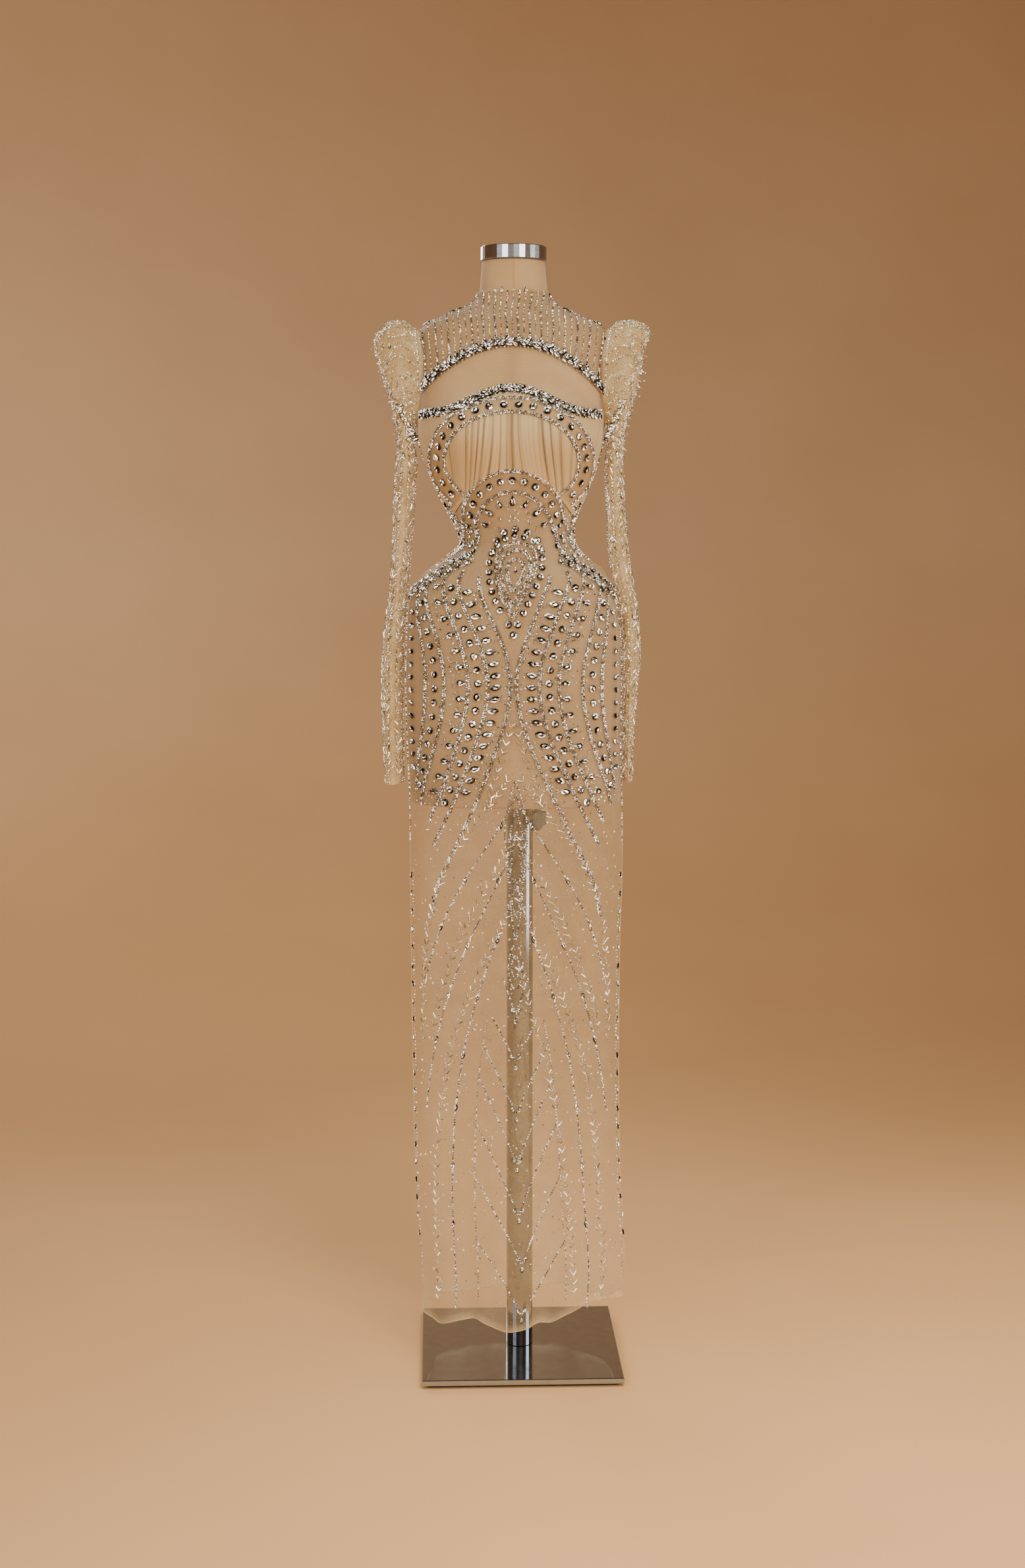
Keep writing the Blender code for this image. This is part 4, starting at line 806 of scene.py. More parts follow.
def make_stone_shapes():
    """The few cut shapes that every stone and bead is a copy of, a unit in length, width and height."""
    def pointed(angle):
        return abs(math.sin(angle)) ** 0.55

    def pear(angle):
        return 0.98 * abs(math.sin(angle / 2)) ** 0.95 if math.cos(angle) > -0.35 else 1.0

    shapes = {name: bmesh.new() for name in ("round", "leaf", "drop", "rhinestone", "bead", "bugle")}
    for name, sides, outline in (("round", 10, None), ("leaf", 12, pointed), ("drop", 12, pear)):
        bm = shapes[name]
        bmesh.ops.create_cone(bm, cap_ends=True, segments=sides, radius1=1.0, radius2=0.93, depth=0.34)
        bmesh.ops.translate(bm, vec=(0, 0, 0.17), verts=bm.verts)
        crown = [face for face in bm.faces if face.normal.z > 0.9]
        bmesh.ops.inset_region(bm, faces=crown, thickness=0.42, depth=0.5, use_even_offset=False)
        table = [face for face in bm.faces if face.normal.z > 0.99 and len(face.verts) == sides]
        bmesh.ops.poke(bm, faces=table, offset=0.08)
        for vert in bm.verts if outline else ():
            vert.co.y *= outline(math.atan2(vert.co.y, vert.co.x))
    bmesh.ops.create_cone(shapes["rhinestone"], cap_ends=True, segments=6, radius1=1.0, radius2=0.55,
                          depth=1.0, matrix=Matrix.Translation((0, 0, 0.5)))
    bmesh.ops.create_icosphere(shapes["bead"], subdivisions=1, radius=1.0,
                               matrix=Matrix.Translation((0, 0, 0.9)))
    bmesh.ops.create_cone(shapes["bugle"], cap_ends=True, segments=5, radius1=1.0, radius2=1.0, depth=2.0,
                          matrix=Matrix.Translation((0, 0, 1)) @ Matrix.Rotation(math.pi / 2, 4, 'Y'))

    meshes = {}
    for name, bm in shapes.items():
        bmesh.ops.triangulate(bm, faces=bm.faces)
        bmesh.ops.recalc_face_normals(bm, faces=bm.faces)
        mesh = bpy.data.meshes.new("cut " + name)
        bm.to_mesh(mesh)
        bm.free()
        # Each facet keeps a value for its painted light.
        mesh.attributes.new("glint", 'FLOAT', 'FACE')
        coords = np.empty(len(mesh.vertices) * 3, np.float32)
        mesh.vertices.foreach_get("co", coords)
        meshes[name] = (mesh, coords.reshape(-1, 3).copy(), facet_kinds(name, mesh))
    return meshes


STONES = make_stone_shapes()


class Beadwork:
    """Stones and beads sewn on one part of the gown, gathered and made as one piece."""

    def __init__(self, seed):
        self.stitches = []
        self.chance = random.Random(seed)
        self.vary = self.chance.uniform

    def sew(self, shape, seat, length, width, rise, turn=0.0):
        """Sew one stone at a seat: its length lies along the seat's first axis, turned by an angle."""
        size = Matrix.Diagonal((length / 2, width / 2, rise, 1.0))
        rock = Matrix.Rotation(self.vary(-0.16, 0.16), 4, 'X')
        rock @= Matrix.Rotation(self.vary(-0.16, 0.16), 4, 'Y')
        self.stitches.append((shape, seat @ rock @ Matrix.Rotation(turn, 4, 'Z') @ size))

    def sew_round(self, seat, size, rise=3.6 * MM):
        self.sew("round", seat, size, size, rise, self.vary(0, 3))

    def hang(self, seat, length):
        """Sew a drop whose tip points along its seat's first axis."""
        self.sew("drop", seat, length, length * 0.62, 0.24 * length)

    def row(self, seats, stone, shape="rhinestone", rise=0.42):
        """Sew one small stone at each seat, each a little different."""
        for seat in seats:
            size = stone * self.vary(0.9, 1.06)
            turn = self.vary(0.0, math.pi)
            self.sew(shape, seat, size, size, rise * size, turn)

    def beads(self, seats, size):
        self.row(seats, size, "bead", 0.5)

    def band(self, path, stone, surface=gown_skin, lift=SEW_OUT, rows=2):
        """Sew rows of rhinestones side by side along a path."""
        for row in range(rows):
            offset = (row - (rows - 1) / 2) * stone * 0.96
            self.row(seats_along(path, stone * 1.03, surface, lift, offset, 0.5 * (row % 2)), stone)

    def make(self, name, look="crystal", slot="crystal", nodes=()):
        bm = bmesh.new()
        for shape, place in self.stitches:
            mesh, coords, kinds = STONES[shape]
            turn = np.array(place.to_3x3())
            moved = coords @ turn.T.astype(np.float32) + np.array(place.translation, np.float32)
            mesh.vertices.foreach_set("co", moved.ravel())
            # Each stone gets its own painted brightness and a side that its painted light comes from.
            mood = self.vary(0.76, 1.0)
            lit = self.vary(0.0, math.tau)
            painted_glints = [self.glint(way, lit, mood) * bright for bright, way in kinds]
            mesh.attributes["glint"].data.foreach_set("value", painted_glints)
            bm.from_mesh(mesh)
        return finish_piece(name, bm, look, nodes, smooth=False)

    def glint(self, way, lit, mood):
        """How bright one facet is painted, as painted highlight and painted shade: on a large stone one side
        is painted lighter than the other, as if lit from that side.
        """
        if way is not None:
            return clamp(0.52 + 0.34 * math.cos(way - lit) + self.vary(-0.26, 0.26))
        if self.chance.random() < DARK_CHANCE:
            return self.vary(0.0, 0.35)
        return self.vary(0.45, 1.0) * mood


def turned_to(here, along, out):
    """A frame at a point whose first axis lies along a way as far as it can, and whose third points out."""
    along = (along - out * along.dot(out)).normalized()
    return Matrix.Translation(here) @ Matrix((along, out.cross(along), out)).transposed().to_4x4()


def seat_at(one, two, surface=gown_skin, lift=SEW_OUT, toward=None):
    """A seat on a surface, facing out, with its first axis along the surface's first way or a given one."""
    here = surface(one, two, lift)
    out = (surface(one, two, lift + MM) - here).normalized()
    return turned_to(here, Vector(toward) if toward else surface(one + 0.01, two, lift) - here, out)


def share_seat(side, share, height, toward=None):
    """A seat on the gown's front, at a share of the half width to one side."""
    return seat_at(side * front_angle(share, height), height, toward=toward)


def seats_along(path, pitch, surface=gown_skin, lift=SEW_OUT, offset=0.0, start=0.5):
    """Seats at even steps along a path, each with its first axis along the path."""
    points = [surface(one, two, lift) for one, two in path]
    lengths = [0.0]
    for here, after in zip(points, points[1:]):
        lengths.append(lengths[-1] + (after - here).length)
    seats = []
    place, step = start * pitch, 0
    while place < lengths[-1]:
        while lengths[step + 1] < place:
            step += 1
        part = (place - lengths[step]) / max(lengths[step + 1] - lengths[step], 1e-9)
        one, two = (a + (b - a) * part for a, b in zip(path[step], path[step + 1]))
        here = surface(one, two, lift)
        out = (surface(one, two, lift + MM) - here).normalized()
        seat = turned_to(here, points[step + 1] - points[step], out)
        seats.append(seat @ Matrix.Translation((0, offset, 0)))
        place += pitch
    return seats


def run(rule, steps=48):
    """A path of points from a rule, from 0 to 1."""
    return [rule(step / steps) for step in range(steps + 1)]


def share_path(side, share_rule, top, foot, steps=60):
    """A path down one side of the front, at a share of the half width that depends on the height."""
    def rule(part):
        height = top + (foot - top) * part
        return side * front_angle(share_rule(height), height), height
    return run(rule, steps)


def oval_place(oval, turn):
    """A place on an upright oval about the section's middle, turn 0 at its top."""
    wide, tall, middle = oval
    height = middle + tall * math.cos(turn)
    return across_angle(wide * math.sin(turn), height), height


def hourglass(number, height):
    """A hip band's share of the half width: nearest the middle at the full hip, flared above and below."""
    drop = min(height, HIP_TOP) - FULL_HIP
    slope = FLARE_ABOVE if drop > 0 else FLARE_BELOW
    flare = math.sqrt(WAIST_BEND ** 2 + (slope * drop) ** 2) - WAIST_BEND
    middle, spread, _, edge, _ = HIP_BANDS[number]
    free = middle + spread * flare
    # Near the side the bands crowd together, and each stays inside its own widest share.
    if free > edge - EDGE_ROOM:
        free = edge - EDGE_ROOM * math.exp(-(free - edge + EDGE_ROOM) / EDGE_ROOM)
    return free


def teardrop(turn, size, away=0.0):
    """A place on the medallion's nested teardrops: turn 0 is the tip, half a turn the round end."""
    middle, half = (DROP_TIP + DROP_TOP) / 2, (DROP_TOP - DROP_TIP) / 2
    heart = middle + 0.2 * half

    def outline(at):
        # The curve alone is 0.79 wide at its widest.
        across = DROP_HALF / 0.79 * math.sin(at) * abs(math.sin(at / 2)) ** 1.3
        return Vector((across, middle - math.cos(at) * half - heart))

    along = outline(turn + 0.01) - outline(turn - 0.01)
    out = Vector((along.y, -along.x)).normalized()
    point = outline(turn) * size + out * away
    return across_angle(point.x, point.y + heart), point.y + heart


def frame_place(turn, lane):
    """A place on the bust frame: lane 0 is its inner oval, 1 its outer one."""
    wide, tall = (inner + (outer - inner) * lane for inner, outer in zip(FRAME_INNER, FRAME_OUTER))
    across = wide * math.sin(turn)
    # Where the oval would reach the lower trim, the frame runs along below it.
    below_trim = lower_cut(across) - 1.25 * TRIM_HALF - 3.2 * MM * (1 - lane) - 2.0 * MM
    height = min(FRAME_HEIGHT + tall * math.cos(turn), below_trim)
    return across_angle(across, height), height


def frame_lane(across, height):
    """Where a point lies across the bust frame: 0 on its inner oval and 1 on its outer one."""
    inner, outer = (math.hypot(across / wide, (height - FRAME_HEIGHT) / tall)
                    for wide, tall in (FRAME_INNER, FRAME_OUTER))
    return (inner - 1) / max(inner - outer, 0.001)


# Sizes and colours that a user would change

def colour_choice(name, description, code):
    return FloatVectorProperty(name=name, description=description, subtype='COLOR', size=4, min=0.0, max=1.0,
                               default=hex_colour(code))


def length_choice(name, description, value):
    return FloatProperty(name=name, description=description, default=value, unit='LENGTH', subtype='DISTANCE')


class GownColours(bpy.types.PropertyGroup):
    """Colours of the gown, the form and the studio."""
    tulle: colour_choice("Tulle", "Threads of the net where they catch the light", "#EBD09A")
    tulle_shade: colour_choice("Tulle shade", "Threads of the net in its thicker places", "#DCBE92")
    yoke: colour_choice("Yoke tulle", "The net of the yoke and the bust frame", "#C4A172")
    yoke_shade: colour_choice("Yoke shade", "The yoke's net in its thicker places", "#AC885A")
    sleeve: colour_choice("Sleeve tulle", "The creamier doubled net of the sleeves", "#E8CE96")
    sleeve_shade: colour_choice("Sleeve shade", "The doubled net in its thicker places", "#D0AE6E")
    # The chiffon's two colours are its folds in the light and the painted shade between them.
    chiffon: colour_choice("Chiffon", "The gathered panel on its folds", "#CCAE7C")
    # This colour is painted shade between the folds.
    chiffon_painted_shade: colour_choice("Chiffon shade", "The gathered panel between its folds", "#6E5331")
    jersey: colour_choice("Jersey", "The form's cover", "#C3A070")
    jersey_shade: colour_choice("Jersey shade", "The form's cover in its duller places", "#B28E60")
    sweep: colour_choice("Studio sweep", "The floor and backdrop", "#D6AD82")
    sweep_shade: colour_choice("Sweep shade", "The sweep's duller places", "#CFA67B")
    chrome: colour_choice("Chrome", "The base plate", "#B0C0D4")
    pole: colour_choice("Pole", "The pole's own chromed tube", "#8A9098")
    steel: colour_choice("Steel", "Neck cap, mast and clamp", "#B5BBC2")


class GownSizes(bpy.types.PropertyGroup):
    """Sizes of the stones and beads."""
    rhinestone: length_choice("Rhinestone", "Across one small stone of the bands", 3.2 * MM)
    seed: length_choice("Seed bead", "Across one scattered bead", 2.4 * MM)
    round_stone: length_choice("Round stone", "Across one large round stone", 11.5 * MM)
    leaf_stone: length_choice("Leaf stone", "Along one leaf-shaped stone", 17.0 * MM)
    bugle: length_choice("Bugle bead", "Along one bugle bead", 8.5 * MM)
    fold: length_choice("Chiffon fold", "How far the gathers stand out", 1.9 * MM)
    scattered: IntProperty(name="Scattered beads", description="Single beads on the skirt", default=760,
                           min=0)


class Making:
    """What the operators share: the finishes, made once from the chosen colours."""
    finishes = {}

    @classmethod
    def finish(cls, look):
        if not cls.finishes:
            cls.fill(bpy.context.scene.gown_colours)
        return cls.finishes[look]

    @classmethod
    def fill(cls, colours):
        cls.finishes = {
            "tulle": netting("silk tulle", colours.tulle, colours.tulle_shade, 0.06, 0.25),
            "bodice tulle": netting("silk tulle over jersey", colours.yoke, colours.yoke_shade, 0.18, 0.50),
            "sleeve tulle": netting("doubled silk tulle", colours.sleeve, colours.sleeve_shade, 0.32, 0.64),
            "chiffon": silk_chiffon(colours.chiffon, colours.chiffon_painted_shade),
            # The crystal and glass colours run from painted shade to painted highlight.
            "crystal": cut_glass("foil-backed crystal", "#1B1713", "#665D50", "#FBF7EE", 0.75, 0.14),
            "glass": cut_glass("silver-lined glass", "#443826", "#B8A67E", "#F8EBCB", 0.5, 0.16),
            "jersey": cotton_jersey(colours.jersey, colours.jersey_shade),
            "chrome": polished_metal("chromed steel", colours.chrome, 0.05, 0.12, (60.0, 60.0, 9.0)),
            "chrome tube": polished_metal("chromed steel tube", colours.pole, 0.06, 0.14, (90.0, 90.0, 6.0)),
            "steel": polished_metal("brushed steel", colours.steel, 0.16, 0.30, (20.0, 20.0, 900.0)),
            "mast steel": polished_metal("drawn steel", colours.steel, 0.25, 0.4, (700.0, 700.0, 12.0)),
            "plastic": moulded("moulded ABS", "#26272A", 0.45, 1800.0, 0.05 * MM),
            "rubber": moulded("moulded rubber", "#1B1A19", 0.8, 1200.0, 0.1 * MM),
            "tape": woven_tape(hex_colour("#D8BD93"), hex_colour("#B8996B")),
            "coil": moulded("nylon coil", "#CDB084", 0.4, 1500.0, 0.03 * MM),
            "sweep": painted_sweep(colours.sweep, colours.sweep_shade),
        }


# The studio and the stand

class GOWN_OT_studio(bpy.types.Operator):
    """Set the pale sweep, the soft lights and the camera"""
    bl_idname = "gown.studio"
    bl_label = "Studio"

    def execute(self, context):
        scene = context.scene
        bend = SWEEP_RADIUS * math.pi / 2

        def sweep(across, up):
            """A round sweep: a level floor, a quarter turn all round it and a wall above."""
            gone = up * (SWEEP_FLOOR + bend + SWEEP_WALL)
            turn = clamp((gone - SWEEP_FLOOR) / SWEEP_RADIUS, 0.0, math.pi / 2)
            reach = min(gone, SWEEP_FLOOR) + SWEEP_RADIUS * math.sin(turn)
            height = SWEEP_RADIUS * (1 - math.cos(turn)) + max(0.0, gone - SWEEP_FLOOR - bend)
            angle = math.tau * across
            return Vector((reach * math.sin(angle), reach * math.cos(angle), height))

        bm = shape_grid(96, 72, sweep, around=True)
        face_toward(bm, UP)
        make_object("studio_sweep", bm, "sweep")

        # The camera itself doesn't see the lights.
        for name, place, aim, size, power, colour, spread, mirrored in LIGHTS:
            data = bpy.data.lights.new(name, 'AREA')
            data.shape = 'RECTANGLE'
            data.size, data.size_y = size
            data.energy = power
            data.color = colour
            data.spread = math.radians(spread)
            light = bpy.data.objects.new(name, data)
            scene.collection.objects.link(light)
            light.visible_camera = False
            light.visible_glossy = mirrored
            light.location = place
            light.rotation_euler = (Vector(aim) - Vector(place)).to_track_quat('-Z', 'Y').to_euler()

        world = bpy.data.worlds.new("studio air")
        world.use_nodes = True
        air = world.node_tree
        ground = air.nodes["Background"]
        ground.inputs["Color"].default_value = hex_colour("#86817B")
        ground.inputs["Strength"].default_value = 0.3
        # Above the sweep the room looks like its paint, and lights nothing more.
        seen = add_node(air, "LightPath")
        paper = add_node(air, "Background", {"Color": hex_colour("#B98F68"), "Strength": 0.75})
        shown = [("Fac", seen, "Is Camera Ray"), (1, ground, "Background"), (2, paper, "Background")]
        add_node(air, "MixShader", {}, shown, feeds=[("Shader", air.nodes["World Output"], "Surface")])
        scene.world = world

        lens = bpy.data.cameras.new("camera")
        lens.lens = 50.0
        lens.sensor_width = 36.0
        lens.sensor_fit = 'AUTO'
        camera = bpy.data.objects.new("camera", lens)
        camera.location = CAMERA_PLACE
        camera.rotation_euler = (CAMERA_TILT, 0.0, 0.0)
        scene.collection.objects.link(camera)
        scene.camera = camera
        return {'FINISHED'}


class GOWN_OT_stand(bpy.types.Operator):
    """Finish the stand's own parts in chrome, steel, plastic and rubber"""
    bl_idname = "gown.stand"
    bl_label = "Stand"

    def execute(self, context):
        for node, look in STAND_LOOKS.items():
            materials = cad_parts[node].data.materials
            materials.clear()
            materials.append(Making.finish(look))
        return {'FINISHED'}


# The form and the cloth

class GOWN_OT_form(bpy.types.Operator):
    """Make the firm form in its jersey cover, with the board and the mast's socket below"""
    bl_idname = "gown.form"
    bl_label = "Dress form"

    def execute(self, context):
        low, high = FORM_BOTTOM + 3 * MM, NECK_TOP - 2 * MM
        # Each ring's radius, height and distance out: a ring without a radius of its own follows the form.
        rings = [(0.0, MAST_TOP, None), (SOCKET, MAST_TOP, None), (SOCKET, FORM_BOTTOM, None),
                 (None, FORM_BOTTOM, -2.5 * MM), (None, FORM_BOTTOM + 1 * MM, -0.6 * MM)]
        rings += [(None, height, 0.0) for height in run(lambda part: low + (high - low) * part, 150)]
        rings += [(None, NECK_TOP, -1.5 * MM), (0.0, NECK_TOP, None)]

        def ring_at(across, up):
            return math.tau * across - math.pi, *rings[round(up * (len(rings) - 1))]

        def place(across, up):
            angle, radius, height, out = ring_at(across, up)
            if radius is None:
                return skin(angle, height, out)
            middle = section(height)[3] if height > MAST_TOP + MM else 0.0
            return Vector((middle + radius * math.sin(angle), -radius * math.cos(angle), height))

        def under_net(across, up):
            """Painted shade of the beaded net on the cover: full in front under the beaded waist and hips,
            inside the outer arch and between its tails.
            """
            angle, _, height, _ = ring_at(across, up)
            wide, tall, middle = OUTER_ARCH
            ahead = clamp(0.5 + 2.5 * math.cos(angle))
            if height <= WAIST_FOOT:
                return ahead
            if height > middle:
                reach = wide * math.sqrt(max(0.0, 1 - ((height - middle) / tall) ** 2))
            else:
                reach = outer_tail(height) * section(height)[0]
            return ahead * clamp(0.5 - (abs(beside_middle(angle, height)) - reach) / (4 * MM))

        bm = shape_grid(96, len(rings) - 1, place, around=True, value=under_net, label="under_net")
        piece = finish_piece("form_cover", bm, "jersey", ["form_torso"])
        piece.data.set_sharp_from_angle(angle=math.radians(50))
        return {'FINISHED'}


def side_fold(across):
    """The turned-in edge of a panel, doubled over the last part of its width."""
    return clamp(1 - min(across, 1 - across) / 0.018) * 0.5


def turned_in(length):
    """Where a panel of that length is doubled: along its sides and over the last 14 mm above its hem."""
    return lambda across, up: max(side_fold(across), clamp(1 - up * length / (14 * MM)) * 0.7)


class GOWN_OT_skirt(bpy.types.Operator):
    """Make the long front panel and the two backs in sheer tulle, with a rolled hem"""
    bl_idname = "gown.skirt"
    bl_label = "Front and backs"

    def execute(self, context):
        limit = math.pi / 2 - SEAM_GAP / 0.157

        def front(across, up):
            angle = (2 * across - 1) * limit
            share = signed_power(math.sin(angle), 2 / SQUARE)
            bottom, top = hem_height(angle), height_on(arch, share) - 0.6 * MM
            return gown_skin(angle, bottom + (top - bottom) * up, CLOTH_OUT)

        bm = shape_grid(112, 190, front, value=turned_in(1.260))
        front_panel = finish_piece("front_tulle", bm, "tulle", ["front_panel"])

        for name, side in SIDE.items():
            def back(across, up):
                height = BACK_HEM + (NECK_EDGE - BACK_HEM) * up
                half, _, depth, _, _ = section(height)
                zipped = clamp((height - ZIP_BOTTOM + 3 * MM) / (3 * MM))
                start = front_angle((0.4 * MM + 6.2 * MM * zipped) / half, height)
                end = armhole_angle(height, -1) - 0.9 * MM / depth
                angle = side * (math.pi - start - (end - start) * (1 - across if side > 0 else across))
                bottom = hem_height(angle)
                return gown_skin(angle, bottom + (NECK_EDGE - bottom) * up, CLOTH_OUT)

            bm = shape_grid(48, 210, back, value=turned_in(1.540))
            face_toward(bm, (0, 1, 0))
            panel = finish_piece("back_tulle_" + name, bm, "tulle", ["back_" + name])

        bm = bmesh.new()
        add_ring(bm, lambda angle: gown_skin(angle, hem_height(angle), CLOTH_OUT), 220, 0.8 * MM)
        for angle, low, high, steps in ((-math.pi / 2, 0.10, 1.41, 120), (math.pi / 2, 0.10, 1.41, 120),
                                        (math.pi, hem_height(math.pi), ZIP_BOTTOM, 100)):
            seam = run(lambda part: gown_skin(angle, low + (high - low) * part, CLOTH_OUT), steps)
            add_tube(bm, seam, 0.55 * MM)
        rolls = finish_piece("hem_and_seams", bm, "sleeve tulle")
        return {'FINISHED'}


class GOWN_OT_bodice(bpy.types.Operator):
    """Make the sheer yoke, the gathered chiffon bust panel and the net of the bust frame"""
    bl_idname = "gown.bodice"
    bl_label = "Yoke and bust"

    def execute(self, context):
        fold_out = context.scene.gown_sizes.fold

        def yoke(across, up):
            turn = 2 * across - 1
            height = 1.48
            for _ in range(14):
                x = beside_middle(turn * (armhole_angle(height, 1) - 0.004), height)
                slope = 2 * CUT_TOP_DROP * x / CUT_REACH ** 2
                height = 0.5 * height + 0.5 * (upper_cut(x) - 5 * MM * math.sqrt(1 + slope ** 2))
            if up < 0.5:
                level = height + (SHOULDER_LEVEL - height) * up * 2
            else:
                level = SHOULDER_LEVEL + (NECK_EDGE - SHOULDER_LEVEL) * (up * 2 - 1)
            return skin(turn * (armhole_angle(level, 1) - 0.004), level, CLOTH_OUT)

        def yoke_edge(across, up):
            return max(side_fold(across), clamp(1 - (1 - up) / 0.03))

        bm = shape_grid(96, 44, yoke, value=yoke_edge)
        yoke_panel = finish_piece("yoke_tulle", bm, "bodice tulle", ["front_yoke"])

        def gather(x, height):
            """Fold height, 0 to 1: soft uneven gathers that draw in toward the arch's two ends."""
            fan = clamp((FAN_TOP - height) / FAN_TALL) ** 2
            drawn = FAN_END * math.sin(clamp(x / FAN_END, -1.0, 1.0) * math.pi / 2)
            lean = x + (x - drawn) * 1.1 * fan
            wide = lean / WIDE_FOLD + 0.8 * math.sin(lean * 47.0 + 1.3) + 0.35 * math.sin(lean * 121.0)
            narrow = lean / NARROW_FOLD + 0.9 * math.sin(lean * 90.0 + height * 9.0)
            ridge = abs(math.sin(math.pi * wide)) ** 0.6
            fine = abs(math.sin(math.pi * narrow)) ** 0.7
            deep = 0.80 + 0.20 * math.sin(lean * 63.0 + 0.7 + height * 12.0)
            # The cleft between the cups lies lower, and through the panel's fold value it is painted darker
            # as painted shade.
            cleft = math.exp(-(x / CLEFT_WIDE) ** 2)
            return clamp(1 - deep * (1 - 0.66 * ridge - 0.34 * fine) - 0.35 * cleft)

        def bust_at(across, up):
            """A place on the bust panel, its fold height and how freely it folds: little under the frame."""
            share = signed_power(math.sin((2 * across - 1) * math.pi / 2), 2 / SQUARE)
            low = height_on(arch, share) + 0.9 * MM
            high = height_on(lower_cut, share) + 5 * MM
            height = low + (high - low) * up
            angle = front_angle(share, height) * (armhole_angle(height, 1) - 0.01) / (math.pi / 2)
            x = beside_middle(angle, height)
            lane = frame_lane(x, height)
            if abs(x) > FRAME_INNER[0] or lane > 0:
                free = 0.22 + 0.78 * clamp(-lane / 0.3)
            else:
                free = clamp(-lane / 0.3 + 0.15)
            return angle, height, gather(x, height), free

        def bust(across, up):
            angle, height, fold, free = bust_at(across, up)
            return skin(angle, height, 2.4 * MM + fold_out * fold * free)

        # The panel's painted shade: darker in the valleys where the gathers fold freely, and kept light under
        # and beside the frame where they hardly fold.
        def bust_fold_shade(across, up):
            _, _, fold, free = bust_at(across, up)
            return 1 - (1 - fold) * (0.12 + 0.88 * free)

        # The fold value is kept on the panel for its painted shade.
        bm = shape_grid(420, 46, bust, value=bust_fold_shade, label="fold")
        panel = finish_piece("bust_chiffon", bm, "chiffon", ["bust_panel"])

        def net(across, up):
            """The frame's net, a little wider than its two bands."""
            return skin(*frame_place(FRAME_END * (2 * across - 1), 1.24 * up - 0.12), FRAME_OUT)

        panel = finish_piece("bust_frame_net", shape_grid(120, 8, net), "bodice tulle")

        bm = bmesh.new()
        add_ring(bm, lambda angle: skin(angle, NECK_EDGE, CLOTH_OUT), 120, 0.9 * MM)
        low = SHOULDER_LEVEL + MM
        for angle in (-math.pi / 2, math.pi / 2):
            shoulder = run(lambda part: skin(angle, low + (NECK_EDGE - low) * part, CLOTH_OUT), 49)
            add_tube(bm, shoulder, 0.6 * MM)
        binding = finish_piece("neck_binding", bm, "sleeve tulle")
        return {'FINISHED'}


class GOWN_OT_sleeves(bpy.types.Operator):
    """Make the two sleeves, gathered and puffed at the head and close along the arm"""
    bl_idname = "gown.sleeves"
    bl_label = "Sleeves"

    def execute(self, context):
        for name in SIDE:
            surface = sleeve_skin(name)

            def place(across, up):
                """The sleeve with the pleats of its gathered head and the creases of a straight arm."""
                along = SLEEVE_END * (1 - up)
                turn = math.tau * across
                head = clamp((6.5 - along) / 5.0) * clamp(along / 0.8)
                pleat = 1.3 * MM * math.sin(15 * turn + 0.8 * math.sin(2 * turn)) * head
                pleat += 0.6 * MM * math.sin(37 * turn + along * 1.1) * head
                crease = 0.7 * MM * math.sin(7 * turn + 1.3 * math.sin(along * 0.8)) * clamp(along / 3)
                return surface(turn, along, pleat + crease - 0.8 * MM)

            def edge(across, up):
                along = SLEEVE_END * (1 - up)
                return max(clamp(1 - (SLEEVE_END - along) / 0.25) * 0.8, clamp(1 - along / 0.3) * 0.6)

            bm = shape_grid(128, 150, place, around=True, value=edge)
            bmesh.ops.recalc_face_normals(bm, faces=bm.faces)
            tube = finish_piece("sleeve_tulle_" + name, bm, "sleeve tulle", ["sleeve_" + name])
            bm = bmesh.new()
            for along, radius in ((0.05, 0.9 * MM), (SLEEVE_END - 0.02, 0.8 * MM)):
                add_ring(bm, lambda turn: surface(turn, along, 0.0), 72, radius)
            binding = finish_piece("sleeve_binding_" + name, bm, "sleeve tulle")
        return {'FINISHED'}


class GOWN_OT_zip(bpy.types.Operator):
    """Make the centre back tape and the coil that the slider runs on"""
    bl_idname = "gown.zip"
    bl_label = "Zip"

    def execute(self, context):
        low, high = ZIP_BOTTOM + MM, NECK_EDGE - MM

        def back_point(across, height, out):
            return skin(math.pi - front_angle(across / section(height)[0], height), height, out)

        def tape(across, up):
            return back_point((2 * across - 1) * 6.0 * MM, low + (high - low) * up, 2.6 * MM)

        bm = shape_grid(8, 160, tape)
        bmesh.ops.recalc_face_normals(bm, faces=bm.faces)
        bmesh.ops.solidify(bm, geom=bm.faces[:], thickness=0.5 * MM)
        cloth = finish_piece("zip_cloth", bm, "tape", ["zip_tape"])
        work = Beadwork(5)
        across = Vector((-1.0, 0.0, 0.0))
        for step in range(COIL_TURNS):
            height = low + (high - low) * (step + 0.5) / COIL_TURNS
            here = back_point(0.0, height, 3.0 * MM)
            up = (back_point(0.0, height + MM, 3.0 * MM) - here).normalized()
            seat = Matrix.Translation(here) @ Matrix((across, up, across.cross(up))).transposed().to_4x4()
            shift = Matrix.Translation((0.5 * MM * (-1) ** step, 0, 0))
            work.sew("bugle", seat @ shift, 2.8 * MM, 0.9 * MM, 0.75 * MM)
        coil = work.make("zip_coil", "coil", "zip_tape")
        return {'FINISHED'}


# The beadwork

